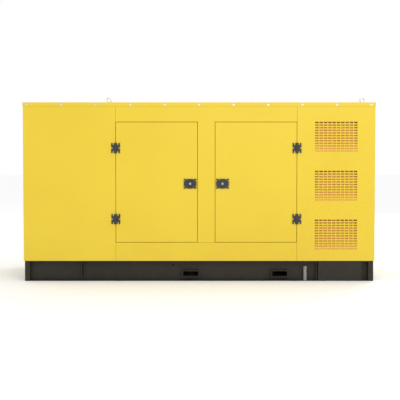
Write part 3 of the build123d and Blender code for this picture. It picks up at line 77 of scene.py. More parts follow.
studio_floor()

sky = bpy.data.worlds.new("studio_sky")
sky.use_nodes = True
sky.node_tree.nodes["Background"].inputs["Color"].default_value = (1, 1, 1, 1)
sky.node_tree.nodes["Background"].inputs["Strength"].default_value = 1.0
scene.world = sky


def soft_lamp(name, place, aim, size, power):
    """A square area lamp at a place, turned towards a point."""
    lamp = bpy.data.lights.new(name, "AREA")
    lamp.size = size
    lamp.energy = power
    lamp_object = bpy.data.objects.new(name, lamp)
    lamp_object.location = place
    direction = Vector(aim) - Vector(place)
    lamp_object.rotation_euler = direction.to_track_quat("-Z", "Y").to_euler()
    scene.collection.objects.link(lamp_object)


soft_lamp("key", (1.8, -7.0, 5.0), (0.2, 0, 0.9), 4.0, 150)
soft_lamp("rim", (5.0, 6.0, 5.0), (0, 0, 1.0), 3.0, 200)

# The camera stands level with the middle of the doors and looks almost straight at the front.
front_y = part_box("panel_left_front")[0].y
CAMERA_DISTANCE = 7.8
CAMERA_HEIGHT = 1.2
CAMERA_DOWN = radians(1.7)
VIEW_WIDTH = 4.0
VIEW_MIDDLE_HEIGHT = 0.815
camera_data = bpy.data.cameras.new("camera")
camera_data.sensor_width = 36.0
camera_data.lens = camera_data.sensor_width * CAMERA_DISTANCE / VIEW_WIDTH
drop = (CAMERA_HEIGHT - VIEW_MIDDLE_HEIGHT) / CAMERA_DISTANCE
camera_data.shift_y = -(drop - tan(CAMERA_DOWN)) * CAMERA_DISTANCE / VIEW_WIDTH
camera = bpy.data.objects.new("camera", camera_data)
camera.location = (0.009, front_y - CAMERA_DISTANCE, CAMERA_HEIGHT)
camera.rotation_euler = (pi / 2 - CAMERA_DOWN, 0, 0)
scene.collection.objects.link(camera)
scene.camera = camera
scene.view_settings.view_transform = "Standard"


# ---------------------------------------------------------------- canopy sheet metal
# Folded steel sheet with a thick textured powder coat. Every panel, door and the roof share it:
# a fine orange peel, a slow drift of tone over the sheet, and road dust that settles low down.
class Finish:
    """One material being put together, with short calls for the nodes it needs."""

    def __init__(self, name):
        self.material = bpy.data.materials.new(name)
        self.material.use_nodes = True
        self.tree = self.material.node_tree
        self.shader = self.tree.nodes["Principled BSDF"]
        self.place = self.tree.nodes.new("ShaderNodeTexCoord").outputs["Object"]

    def node(self, kind, **settings):
        new = self.tree.nodes.new(kind)
        for key, value in settings.items():
            setattr(new, key, value)
        return new

    def wire(self, source, target):
        self.tree.links.new(source, target)

    def noise(self, scale, detail=3.0, stretch=(1, 1, 1), roughness=0.5):
        """Cloudy pattern with about this many patches in a metre, stretched along the axes."""
        mapping = self.node("ShaderNodeMapping")
        mapping.inputs["Scale"].default_value = stretch
        self.wire(self.place, mapping.inputs["Vector"])
        cloud = self.node("ShaderNodeTexNoise")
        cloud.inputs["Scale"].default_value = scale
        cloud.inputs["Detail"].default_value = detail
        cloud.inputs["Roughness"].default_value = roughness
        self.wire(mapping.outputs["Vector"], cloud.inputs["Vector"])
        return cloud.outputs["Fac"]

    def remap(self, value, low, high, out_low=0.0, out_high=1.0):
        """Straight-line change of a value from one range to another, held at its ends."""
        change = self.node("ShaderNodeMapRange")
        self.wire(value, change.inputs["Value"])
        for key, number in (
            ("From Min", low),
            ("From Max", high),
            ("To Min", out_low),
            ("To Max", out_high),
        ):
            change.inputs[key].default_value = number
        return change.outputs["Result"]

    def blend(self, amount, first, second):
        """Mix two colours, given as numbers or as sockets, by an amount socket."""
        mix = self.node("ShaderNodeMix", data_type="RGBA")
        self.wire(amount, mix.inputs["Factor"])
        for socket, colour in ((mix.inputs["A"], first), (mix.inputs["B"], second)):
            if isinstance(colour, tuple):
                socket.default_value = (*colour, 1)
            else:
                self.wire(colour, socket)
        return mix.outputs["Result"]

    def height(self):
        """Height above the floor, in metres."""
        split = self.node("ShaderNodeSeparateXYZ")
        self.wire(self.place, split.inputs["Vector"])
        return split.outputs["Z"]

    def times(self, first, second):
        product = self.node("ShaderNodeMath", operation="MULTIPLY")
        self.wire(first, product.inputs[0])
        self.wire(second, product.inputs[1])
        return product.outputs["Value"]

    def set(self, colour=None, rough=None, bump=None, depth=0.001, strength=0.3, **even):
        """Wire colour, roughness and bump, and set the even values on the shader itself."""
        if isinstance(colour, tuple):
            self.shader.inputs["Base Color"].default_value = (*colour, 1)
        elif colour is not None:
            self.wire(colour, self.shader.inputs["Base Color"])
        if isinstance(rough, float):
            self.shader.inputs["Roughness"].default_value = rough
        elif rough is not None:
            self.wire(rough, self.shader.inputs["Roughness"])
        if bump is not None:
            relief = self.node("ShaderNodeBump")
            relief.inputs["Strength"].default_value = strength
            relief.inputs["Distance"].default_value = depth
            self.wire(bump, relief.inputs["Height"])
            self.wire(relief.outputs["Normal"], self.shader.inputs["Normal"])
        for key, value in even.items():
            self.shader.inputs[key.replace("_", " ")].default_value = value
        return self.material


def dress(material, *names):
    """Give carried-over pieces of the frame one finish."""
    for name in names:
        slots = nodes[name].data.materials
        slots.clear()
        slots.append(material)


def powder_coat(name, light, dark, dust, dust_top, rough=(0.34, 0.46), shine=0.5):
    """Sprayed and baked paint: tone drifts between two shades, dust gathers below a height."""
    coat = Finish(name)
    tone = coat.remap(coat.noise(1.3, 4.0), 0.35, 0.65)
    patches = coat.remap(coat.noise(9.0, 6.0, roughness=0.7), 0.45, 0.75)
    low = coat.remap(coat.height(), 0.0, dust_top, 0.75, 0.0)
    grime = coat.times(low, patches)
    paint = coat.blend(tone, light, dark)
    colour = coat.blend(grime, paint, dust)
    peel = coat.noise(420.0, 2.0)
    gloss = coat.remap(coat.noise(24.0, 5.0), 0.3, 0.7, *rough)
    even = {"Specular_IOR_Level": shine, "Coat_Weight": 0.24 * shine, "Coat_Roughness": 0.25}
    return coat.set(colour, gloss, peel, depth=0.0006, strength=0.16, **even)


yellow_coat = powder_coat(
    "yellow_powder_coat", (0.735, 0.535, 0.017), (0.71, 0.505, 0.013), (0.64, 0.47, 0.05), 0.5
)
canopy = [
    f"{piece}_{side}"
    for piece in ("panel_left", "panel_right", "door_surround", "door_left", "door_right")
    for side in ("front", "rear")
]
dress(yellow_coat, *canopy, "end_panel_left", "end_panel_right", "roof", "control_door")
inner_coat = powder_coat(
    "inner_yellow_coat", (0.80, 0.50, 0.02), (0.72, 0.43, 0.02), (0.4, 0.3, 0.15), 0.6, (0.5, 0.62)
)
dress(inner_coat, "inner_frames")
# The air baffles behind the grilles are the same yellow as the canopy. Their colour here is darkened to
# orange as painted shade, standing for the bounce light in the shadowed ducts behind the slots.
baffle_coat = powder_coat(
    "baffle_painted_shade_coat", (0.86, 0.43, 0.09), (0.80, 0.38, 0.07), (0.4, 0.28, 0.15), 0.6, (0.5, 0.62)
)
dress(baffle_coat, "air_baffles")

# ---------------------------------------------------------------- skid
# Welded channel and tube, shot-blasted and powder coated a warm satin black, with a little dark
# dust low down. The fuel tank between the rails has a coat of its own.
frame_coat = powder_coat(
    "skid_black_coat",
    (0.017, 0.0135, 0.0085),
    (0.022, 0.0178, 0.012),
    (0.03, 0.032, 0.02),
    0.14,
    (0.5, 0.66),
    0.3,
)
dress(frame_coat, "skid_frame", "fork_pockets")
tank_coat = powder_coat(
    "tank_black_coat", (0.022, 0.022, 0.022), (0.03, 0.03, 0.03), (0.12, 0.11, 0.1), 0.2, (0.35, 0.5)
)
dress(tank_coat, "fuel_tank")


def bare_metal(name, light, dark, rough, grain=(1, 1, 1), scale=60.0, metallic=1.0):
    """Uncoated metal: a stretched grain in tone, gloss and relief."""
    metal = Finish(name)
    streak = metal.noise(scale, 5.0, grain)
    tone = metal.remap(streak, 0.35, 0.65)
    gloss = metal.remap(metal.noise(scale * 0.4, 4.0, grain), 0.3, 0.7, rough - 0.08, rough + 0.1)
    return metal.set(metal.blend(tone, light, dark), gloss, streak, 0.0004, 0.2, Metallic=metallic)


zinc = bare_metal("bright_zinc", (0.80, 0.80, 0.78), (0.62, 0.63, 0.61), 0.3)
dress(zinc, "roof_bolts", "lifting_eyes")
strap_zinc = bare_metal("dull_zinc", (0.34, 0.33, 0.31), (0.22, 0.215, 0.20), 0.45)
dress(strap_zinc, "earth_terminal")


# ---------------------------------------------------------------- rubber, plastic and castings
# Black zinc-alloy hinges and latches with a fine textured coat; moulded rubber strips and
# bushes; grained engine-bay plastics.
def moulding(name, light, dark, rough, grain_scale, grain_depth=0.0003, sheen=0.0, metallic=0.0):
    """Moulded or cast surface: a fine even grain, slight mottling and a soft variation of gloss."""
    cast = Finish(name)
    mottle = cast.remap(cast.noise(18.0, 5.0), 0.3, 0.7)
    grain = cast.noise(grain_scale, 2.0)
    gloss = cast.remap(cast.noise(40.0, 4.0), 0.3, 0.7, rough - 0.06, rough + 0.08)
    even = {"Sheen_Weight": sheen, "Metallic": metallic}
    return cast.set(cast.blend(mottle, light, dark), gloss, grain, grain_depth, 0.35, **even)


black_casting = moulding("black_casting", (0.022, 0.022, 0.024), (0.034, 0.034, 0.036), 0.42, 500.0)
fittings = [f"door_fittings_{door}_{side}" for door in ("left", "right") for side in ("front", "rear")]
dress(black_casting, *fittings, "hinge_frame_leaves", "control_door_fittings", "fuel_cap")
latches = [f"latch_{door}_{side}" for door in ("left", "right") for side in ("front", "rear")]
latch_black = moulding("latch_black", (0.030, 0.030, 0.032), (0.045, 0.045, 0.048), 0.36, 420.0, 0.0002)
dress(latch_black, *latches, "control_door_latch")
rubber = moulding("black_rubber", (0.012, 0.012, 0.012), (0.022, 0.022, 0.021), 0.75, 300.0, 0.0005)
dress(rubber, "weather_seals", "coolant_hoses", "vibration_mounts", "fan_belt")
foam = moulding("charcoal_foam", (0.020, 0.021, 0.023), (0.035, 0.036, 0.038), 0.95, 160.0, 0.002, 0.3)
black_plastic = moulding("black_plastic", (0.018, 0.018, 0.019), (0.03, 0.03, 0.031), 0.45, 420.0)
dress(black_plastic, "controller", "breaker", "breaker_toggle", "air_cleaner", "battery", "cooling_fan")
stop_red = moulding("stop_red", (0.55, 0.012, 0.01), (0.5, 0.01, 0.01), 0.3, 300.0, 0.0002)
dress(stop_red, "emergency_stop")
cabinet_grey = powder_coat("cabinet_grey_coat", (0.5, 0.51, 0.51), (0.46, 0.47, 0.47), (0.3, 0.3, 0.28), 0.6)
dress(cabinet_grey, "control_cabinet")

# ---------------------------------------------------------------- latch faces
# Each turn latch carries a dark plated ring pressed round its knob and a bright plated lock
# barrel in the middle, turned with a round recess for the key.
def grid_mesh(name, points, material, body, wrap=True, smooth=True):
    """Quads over an array of points, rows by columns, or over several such sheets stacked in one
    array; wrap joins the last column of each sheet to its first."""
    sheets = points.reshape((-1,) + points.shape[-3:])
    count, rows, columns = sheets.shape[:3]
    last = columns if wrap else columns - 1
    counts = (np.arange(count), np.arange(rows - 1), np.arange(last))
    sheet, row, column = np.meshgrid(*counts, indexing="ij")
    here = (sheet * rows + row) * columns
    after = (column + 1) % columns
    below = here + columns
    quads = np.stack([here + column, here + after, below + after, below + column], axis=-1)
    mesh = bpy.data.meshes.new(name)
    mesh.vertices.add(count * rows * columns)
    mesh.vertices.foreach_set("co", sheets.reshape(-1).astype(np.float32))
    mesh.loops.add(quads.size)
    mesh.loops.foreach_set("vertex_index", quads.reshape(-1).astype(np.int32))
    mesh.polygons.add(quads.size // 4)
    mesh.polygons.foreach_set("loop_start", np.arange(0, quads.size, 4, dtype=np.int32))
    mesh.update(calc_edges=True)
    mesh.validate()
    return finish_piece(name, mesh, material, body, smooth)


def finish_piece(name, mesh, material, body, smooth=True):
    """Merge doubles, turn the faces outwards, link the piece and let it ride on its body."""
    work = bmesh.new()
    work.from_mesh(mesh)
    bmesh.ops.remove_doubles(work, verts=work.verts, dist=1e-6)
    bmesh.ops.recalc_face_normals(work, faces=work.faces)
    work.to_mesh(mesh)
    work.free()
    mesh.polygons.foreach_set("use_smooth", [smooth] * len(mesh.polygons))
    mesh.materials.append(material)
    piece = bpy.data.objects.new(name, mesh)
    scene.collection.objects.link(piece)
    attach(piece, body)
    return piece


def frame_of(axis):
    """Two unit directions square to an axis, and the axis itself, as rows of a matrix."""
    axis = np.array(axis, float)
    side = np.array((0, 0, 1.0)) if abs(axis[2]) < 0.9 else np.array((1.0, 0, 0))
    first = np.cross(side, axis)
    first /= np.linalg.norm(first)
    return np.array([first, np.cross(axis, first), axis])


def turned_points(profile, axis, steps):
    """A profile of (radius, height) points carried once round an axis: radius times the turning
    direction plus height times the axis, at every step of the turn."""
    turn = np.linspace(0, 2 * pi, steps, endpoint=False)
    first, second, along = frame_of(axis)
    radius, height = np.array(profile, float).T
    around = np.cos(turn)[:, None] * first + np.sin(turn)[:, None] * second
    return radius[:, None, None] * around[None] + height[:, None, None] * along


def turned(name, profile, centre, axis, material, body, steps=48):
    """One turned shape set down at a place."""
    return grid_mesh(name, turned_points(profile, axis, steps) + np.array(centre), material, body)


bright_plate = bare_metal("bright_plate", (0.50, 0.56, 0.56), (0.38, 0.43, 0.43), 0.3, scale=220.0)
dark_plate = bare_metal("dark_plate", (0.10, 0.11, 0.115), (0.07, 0.075, 0.08), 0.45, scale=220.0)
joint_places = {joint["name"]: joint for joint in frame["joints"]}


def latch_face(latch, turn_joint):
    """Ring and lock barrel on the outer face of one latch knob."""
    joint = joint_places[turn_joint]
    low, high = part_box(latch)
    centre = np.array(joint["pos_m"])
    across = [abs(a) for a in joint["axis"]].index(1)
    out = np.zeros(3)
    out[across] = 1.0 if centre[across] > 0 else -1.0
    centre[across] = high[across] if centre[across] > 0 else low[across]
    ring = [(0.0158, -0.004), (0.0158, 0.0006), (0.0165, 0.0012)]
    ring += [(0.0208, 0.0012), (0.0215, 0.0006), (0.0215, -0.004)]
    turned(f"{latch}_ring", ring, centre, out, dark_plate, latch)
    barrel = [(0.0, 0.0009), (0.0035, 0.0009), (0.0035, 0.0024)]
    barrel += [(0.0085, 0.0024), (0.0105, 0.0016), (0.0105, -0.003)]
    turned(f"{latch}_lock", barrel, centre, out, bright_plate, latch)


for latch in latches:
    latch_face(latch, f"{latch}_turn")
latch_face("control_door_latch", "control_door_latch_turn")

# ---------------------------------------------------------------- acoustic foam
# Open-cell foam, charcoal, cut on its face into rows of shallow pyramids and glued into the
# door pans and on the panels, its edges trimmed square. It is 18 mm thick at the peaks.
FOAM_PITCH = 0.05
FOAM_TOOTH = 0.009


def foam_slab(name, low, high, face_axis, outward, body, hole=None):
    """Closed slab filling a box. Its free face is lowered from the box by one tooth, less the
    smaller of two triangle waves of one pitch; the outermost ring of points is the glued edge.
    Where a hole is given, the face points inside it are drawn back to the glued side."""
    low, high = np.array(low, float), np.array(high, float)
    across = [k for k in range(3) if k != face_axis]
    counts = [max(2, int(round((high[k] - low[k]) / FOAM_PITCH))) * 2 + 1 for k in across]
    u, v = np.meshgrid(*[np.linspace(low[k], high[k], n) for k, n in zip(across, counts)], indexing="ij")
    wave_u = np.abs(np.arange(counts[0]) % 2)[:, None]
    wave_v = np.abs(np.arange(counts[1]) % 2)[None, :]
    top, glued = (high[face_axis], low[face_axis]) if outward > 0 else (low[face_axis], high[face_axis])
    depth = top - outward * FOAM_TOOTH * (1 - wave_u * wave_v)
    if hole is not None:
        inside = (abs(u - hole[0]) < hole[2]) & (abs(v - hole[1]) < hole[2])
        depth = np.where(inside, glued + outward * 0.001, depth)
    u, v, depth = (np.pad(a, 1, mode="edge") for a in (u, v, depth))
    edge = np.zeros(u.shape, bool)
    edge[[0, -1], :] = True
    edge[:, [0, -1]] = True
    depth = np.where(edge, glued, depth)
    points = np.zeros((*u.shape, 3))
    points[..., across[0]] = u
    points[..., across[1]] = v
    points[..., face_axis] = depth
    slab = grid_mesh(name, points, foam, body, wrap=False, smooth=False)
    rim = bmesh.new()
    rim.from_mesh(slab.data)
    bmesh.ops.holes_fill(rim, edges=[e for e in rim.edges if e.is_boundary])
    bmesh.ops.recalc_face_normals(rim, faces=rim.faces)
    rim.to_mesh(slab.data)
    rim.free()
    return slab


for side in ("front", "rear"):
    for door in ("left", "right"):
        node = f"door_lining_{door}_{side}"
        low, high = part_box(node)
        latch_place = joint_places[f"latch_{door}_{side}_turn"]["pos_m"]
        hole = (latch_place[0], latch_place[2], 0.045)
        inwards = 1 if side == "front" else -1
        body = f"door_{door}_{side}"
        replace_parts(foam_slab(f"foam_{door}_{side}", low, high, 1, inwards, body, hole), node)

# ---------------------------------------------------------------- foam under the roof and on the walls
# The same foam glued under the roof, in one sheet each side of the seam over the control end, and
# on the inside of both left panels.
FOAM_THICK = 0.018
lining_low, lining_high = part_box("canopy_lining")
roof_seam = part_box("panel_right_front")[0].x + 0.022
bulkhead_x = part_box("radiator")[0].x + 0.006
side_y = lining_high.y - 0.07
roof_foam = {
    "middle": (bulkhead_x, roof_seam - 0.002),
    "control_end": (roof_seam + 0.002, lining_high.x),
}
for part, (start, end) in roof_foam.items():
    low = (start, -side_y, lining_high.z - FOAM_THICK)
    slab = foam_slab(f"foam_roof_{part}", low, (end, side_y, lining_high.z), 2, -1, "root")
    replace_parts(slab, "canopy_lining")
for side, wall, inwards in (("front", lining_low.y, 1), ("rear", lining_high.y, -1)):
    near, far = sorted((wall, wall + inwards * FOAM_THICK))
    low = (lining_low.x, near, lining_low.z)
    high = (bulkhead_x - 0.014, far, lining_high.z - 0.06)
    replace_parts(foam_slab(f"foam_wall_{side}", low, high, 1, inwards, "root"), "canopy_lining")

# ---------------------------------------------------------------- engine, generator and exhaust
# Sand-cast iron sprayed engine grey, a generator in a darker grey, machined shafts and a
# heat-stained exhaust.
engine_paint = moulding("engine_grey", (0.10, 0.115, 0.13), (0.075, 0.085, 0.095), 0.5, 240.0, 0.0012)
dress(engine_paint, "engine_block", "cylinder_head", "oil_sump", "engine_accessories")
generator_paint = moulding("generator_grey", (0.14, 0.15, 0.155), (0.11, 0.12, 0.125), 0.5, 260.0, 0.001)
dress(generator_paint, "generator")
shaft_steel = bare_metal("machined_steel", (0.6, 0.6, 0.6), (0.4, 0.4, 0.41), 0.3, (4, 1, 1), 80.0)
dress(shaft_steel, "crank_train")
exhaust_steel = bare_metal("heat_stained_steel", (0.34, 0.29, 0.24), (0.2, 0.18, 0.17), 0.5, scale=12.0)
dress(exhaust_steel, "exhaust_system")
core_black = moulding("radiator_black", (0.02, 0.02, 0.021), (0.03, 0.03, 0.031), 0.55, 200.0, 0.0006)
dress(core_black, "radiator")

pane = Finish("clear_pane")
haze = pane.remap(pane.noise(30.0), 0.3, 0.7, 0.04, 0.12)
dress(pane.set((0.9, 0.95, 0.95), haze, Transmission_Weight=0.9, IOR=1.49), "control_window")

# ---------------------------------------------------------------- skid weld beads
# Stacked-coin fillet welds where the gussets and end posts meet the rail webs, painted over
# with the skid.
RAIL_DEPTH = 0.05
GUSSET_X = 1.18
GUSSET_HALF = 0.004
WELD_END = 0.012
RIPPLE = 0.005
ROOT = "root"


def tube_along(name, points, radius, material, sides=10):
    """Round tube along a line of points: at each point a ring of the given radius stands square to
    the line; the radius may be one number or one for each point."""
    points = np.array(points, float)
    way = np.gradient(points, axis=0)
    way /= np.linalg.norm(way, axis=1)[:, None]
    first = np.cross(way, (0.31, 0.17, 0.93))
    first /= np.linalg.norm(first, axis=1)[:, None]
    second = np.cross(way, first)
    turn = np.linspace(0, 2 * pi, sides, endpoint=False)
    ring = np.cos(turn)[:, None] * first[:, None] + np.sin(turn)[:, None] * second[:, None]
    reach = np.resize(radius, len(points))[:, None, None]
    return grid_mesh(name, points[:, None] + reach * ring, material, ROOT)


def weld(name, start, end, radius=0.0035):
    """Bead of weld: a tube whose radius swells and shrinks every ripple along it."""
    start, end = np.array(start, float), np.array(end, float)
    length = np.linalg.norm(end - start)
    step = np.linspace(0, 1, int(length / 0.0012))
    swell = radius * (1 + 0.18 * np.abs(np.sin(pi * step * length / RIPPLE)))
    return tube_along(name, start + step[:, None] * (end - start), swell, frame_coat, 8)


skid_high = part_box("skid_frame")[1]
web_y = skid_high.y - RAIL_DEPTH
weld_top = skid_high.z - WELD_END
for side, out in (("front", -1), ("rear", 1)):
    for end, along in (("left", -1), ("right", 1)):
        weld_x = {"gusset": along * GUSSET_X - GUSSET_HALF, "post": along * (skid_high.x - RAIL_DEPTH)}
        for part, x in weld_x.items():
            weld(f"weld_{part}_{end}_{side}", (x, out * web_y, WELD_END), (x, out * web_y, weld_top))

# ---------------------------------------------------------------- engine dressing
# Cast ribs and a bolt row on the valve cover, core plugs in the block, a sump bolt row, and
# injectors with their steel pipes from the pump.
BLOCK_MIDDLE = 0.03
BLOCK_SIDE = 0.16
SKIRT_SIDE = 0.2
BORE_PITCH = 0.15
FILLER_HEIGHT = 0.024
COVER_HEIGHT = 0.08
INJECTOR_Y = -0.112
PUMP_Y = -0.235
PUMP_TOP = 0.75
PIPE_PITCH = 0.048
FACING_X, FACING_Y, FACING_Z = (1, 0, 0), (0, 1, 0), (0, 0, 1)


def rounded_block(size, radius, steps=3):
    """Grid over a block with rounded edges: each corner is an eighth of a ball of the given radius
    moved out to its corner, and the flats are the quads that stretch between the corners."""
    half = np.array(size, float) / 2 - radius
    quarter = np.linspace(0, pi / 2, steps + 1)
    around = np.concatenate([quarter + k * pi / 2 for k in range(4)])
    side_x = np.repeat([1, -1, -1, 1], steps + 1)
    side_y = np.repeat([1, 1, -1, -1], steps + 1)
    down = np.concatenate([quarter, quarter + pi / 2])
    side_z = np.repeat([1, -1], steps + 1)
    x = side_x * half[0] + radius * np.sin(down)[:, None] * np.cos(around)
    y = side_y * half[1] + radius * np.sin(down)[:, None] * np.sin(around)
    z = (side_z * half[2] + radius * np.cos(down))[:, None] + 0 * x
    shell = np.stack([x, y, z], axis=-1)
    top, low = np.zeros((2, 1, len(around), 3))
    top[..., 2], low[..., 2] = half[2] + radius, -half[2] - radius
    return np.concatenate([top, shell, low])


def set_down(name, shape, places, material):
    """The same grid set down at many places, as one piece of the fixed body."""
    spread = np.array(places, float)[:, None, None, :]
    return grid_mesh(name, shape[None] + spread, material, ROOT)


def blocks(name, size, radius, places, material):
    return set_down(name, rounded_block(size, radius), places, material)


def discs(name, profile, places, axis, material, steps=16):
    return set_down(name, turned_points(profile, axis, steps), places, material)


def bolts(name, radius, height, places, axis, sides=6):
    """Hexagon heads, or round ones where more sides are asked for: a flat top with a chamfer."""
    head = [(0, height), (radius * 0.86, height), (radius, height * 0.8), (radius, 0), (0, 0)]
    return discs(name, head, places, axis, bolt_steel, sides)


def smooth_line(corners, count=40):
    """Points along a curve that runs near its corners: three rounds of corner cutting."""
    line = np.array(corners, float)
    for _ in range(3):
        near, far = line[:-1], line[1:]
        cut = np.stack([0.75 * near + 0.25 * far, 0.25 * near + 0.75 * far], axis=1)
        line = np.concatenate([line[:1], cut.reshape(-1, 3), line[-1:]])
    steps = np.linalg.norm(np.diff(line, axis=0), axis=1)
    length = np.concatenate([[0], np.cumsum(steps)])
    even = np.linspace(0, length[-1], count)
    return np.stack([np.interp(even, length, line[:, axis]) for axis in range(3)], axis=1)


bolt_steel = bare_metal("bolt_steel", (0.42, 0.42, 0.41), (0.28, 0.28, 0.27), 0.4, scale=140.0)
filler_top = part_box("cylinder_head")[1].z
cover_top = filler_top - FILLER_HEIGHT
head_top = cover_top - COVER_HEIGHT
rib_places = [(x, 0.01, cover_top) for x in np.linspace(-0.18, 0.40, 7)]
blocks("cover_ribs", (0.012, 0.15, 0.012), 0.004, rib_places, engine_paint)
head_bolts = [(x, y, head_top) for x in np.linspace(-0.4, 0.46, 9) for y in (-0.125, 0.13)]
bolts("head_bolts", 0.011, 0.012, head_bolts, FACING_Z)
cap_grip = [(0, 0.012), (0.02, 0.012), (0.031, 0.006), (0.033, -0.012), (0.0305, -0.02)]
turned("oil_filler_cap", cap_grip, (-0.27, 0.01, filler_top), FACING_Z, black_plastic, ROOT)
plug = [(0, -0.002), (0.019, -0.002), (0.022, 0.002), (0.026, 0.002), (0.027, 0)]
for side, out in (("front", -1), ("rear", 1)):
    outwards = (0, out, 0)
    plug_places = [(x, out * BLOCK_SIDE, 0.745) for x in (-0.36, -0.21, 0.09, 0.24, 0.39)]
    discs(f"core_plugs_{side}", plug, plug_places, outwards, bolt_steel, 28)
    sump_bolts = [(x, out * SKIRT_SIDE, 0.448) for x in np.linspace(-0.42, 0.48, 12)]
    bolts(f"sump_bolts_{side}", 0.008, 0.007, sump_bolts, outwards)
injector_x = BLOCK_MIDDLE + BORE_PITCH * (np.arange(6) - 2.5)
injector = [(0, 0.05), (0.006, 0.05), (0.007, 0.036), (0.012, 0.034)]
injector += [(0.012, 0.0), (0.016, 0.0), (0.016, -0.002)]
places = [(x, INJECTOR_Y, head_top) for x in injector_x]
discs("injectors", injector, places, FACING_Z, bolt_steel, 20)
for number, x in enumerate(injector_x):
    outlet_x = -0.12 + PIPE_PITCH * number
    corners = [(outlet_x, PUMP_Y, PUMP_TOP), (outlet_x, PUMP_Y, 0.83)]
    corners += [(0.4 * outlet_x + 0.6 * x, -0.262, 0.92), (x, -0.25, 1.045)]
    corners += [(x, -0.15, 1.06), (x, INJECTOR_Y, head_top + 0.05)]
    pipe = smooth_line(corners)
    tube_along(f"injector_pipe_{number}", pipe, 0.0032, bolt_steel)


# ---------------------------------------------------------------- hose and duct clamps
# Worm-drive clamps of bright band with a screw housing, where the hoses leave the radiator and
# where the duct leaves the air cleaner.
def clamp(name, centre, radius):
    """Band round a hose that runs along X, with raised edges and the screw housing on it."""
    edge = radius + 0.0016
    band = [(radius, -0.006), (edge, -0.006), (edge, -0.0048), (radius + 0.0009, -0.0042)]
    band += [(r, -h) for r, h in band[::-1]]
    turned(name, band, centre, FACING_X, bright_plate, ROOT)
    seat = np.array(centre) + frame_of(FACING_X)[0] * (radius + 0.004)
    blocks(f"{name}_screw", (0.014, 0.014, 0.009), 0.003, [seat], bright_plate)


HOSE_RADIUS, DUCT_RADIUS = 0.0243, 0.0323
clamp("clamp_top_hose", (-0.715, 0.2, 1.31), HOSE_RADIUS)
clamp("clamp_low_hose", (-0.715, -0.38, 0.44), HOSE_RADIUS)
clamp("clamp_air_duct", (0.045, -0.06, 1.21), DUCT_RADIUS)

# ---------------------------------------------------------------- radiator details
# Filler cap and neck on the top tank, pressed ribs along it, and screws round the fan shroud.
CORE_THICK = 0.097
SHROUD_PLATE = 0.003
radiator_low, radiator_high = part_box("radiator")
core_middle = radiator_low.x + CORE_THICK / 2
tank_face = radiator_low.x + CORE_THICK + 0.001
shroud_x = radiator_low.x + CORE_THICK + SHROUD_PLATE
neck = [(0, 0.018), (0.024, 0.018), (0.03, 0.014), (0.031, 0.004), (0.026, 0.002), (0.026, -0.004)]
neck_place = (core_middle, -0.25, radiator_high.z)
turned("radiator_cap", neck, neck_place, FACING_Z, bolt_steel, ROOT)
rib_places = [(tank_face, y, radiator_high.z - 0.05) for y in np.linspace(-0.32, 0.32, 9)]
blocks("tank_ribs", (0.008, 0.014, 0.07), 0.0035, rib_places, core_black)
shroud_bolts = [(shroud_x, y, z) for y in (-0.37, 0.37) for z in np.linspace(0.44, 1.22, 6)]
bolts("shroud_bolts", 0.008, 0.006, shroud_bolts, FACING_X)

# ---------------------------------------------------------------- generator details
# Cast cooling ribs along both sides of the housing, sloping into it at their ends, and screws
# in the lid of the terminal box.
CRANK_HEIGHT = 0.59
RIB_X = (0.70, 0.72, 0.93, 0.95)
RIB_SLOPE = 0.012
RIB_SECTION = np.array([(0.243, -0.004), (0.256, -0.0025), (0.256, 0.0025), (0.243, 0.004)])
TERMINAL_TOP = 1.005
ribs = []
for turn in np.radians(np.concatenate([np.arange(-55, 56, 10), np.arange(125, 236, 10)])):
    out = np.array((0, np.cos(turn), np.sin(turn)))
    aside = np.array((0, -np.sin(turn), np.cos(turn)))
    outline = RIB_SECTION[:, :1] * out + RIB_SECTION[:, 1:] * aside + np.array((0, 0, CRANK_HEIGHT))
    rib = np.array(RIB_X)[:, None, None] * np.array(FACING_X) + outline[None]
    rib[[0, -1]] -= out * RIB_SLOPE
    ribs.append(rib)
grid_mesh("generator_ribs", np.stack(ribs), generator_paint, ROOT, smooth=False)
lid_screws = [(x, y, TERMINAL_TOP) for x in (1.0, 1.12, 1.24) for y in (-0.145, 0.145)]
bolts("lid_screws", 0.007, 0.005, lid_screws, FACING_Z)

# ---------------------------------------------------------------- silencer and air cleaner
# Rolled seams at the ends of the silencer, nuts on the exhaust manifold, and the rolled joint
# and spring clips of the air cleaner.
SILENCER_Y, SILENCER_Z = 0.19, 1.43
CLEANER_X, CLEANER_Y, CLEANER_Z = 0.395, -0.06, 1.21
CLIP_REACH = 0.115
seam = [(0.139, -0.006), (0.1425, -0.004), (0.1435, 0.0), (0.1425, 0.004), (0.139, 0.006)]
places = [(x, SILENCER_Y, SILENCER_Z) for x in (-1.625, -0.985)]
discs("silencer_seams", seam, places, FACING_X, exhaust_steel, 64)
nuts = [(x + d, 0.24, z) for x in injector_x for d in (-0.035, 0.035) for z in (0.91, 0.95)]
bolts("manifold_nuts", 0.008, 0.007, nuts, FACING_Y)
joint_line = [(0.109, -0.008), (0.1135, -0.006), (0.1135, 0.006), (0.109, 0.008)]
places = [(CLEANER_X, CLEANER_Y, CLEANER_Z)]
discs("cleaner_joint", joint_line, places, FACING_X, black_plastic, 64)
clips = [
    (CLEANER_X, CLEANER_Y + CLIP_REACH * np.cos(a), CLEANER_Z + CLIP_REACH * np.sin(a))
    for a in np.radians((60, 180, 300))
]
blocks("cleaner_clips", (0.034, 0.008, 0.014), 0.003, clips, bolt_steel)

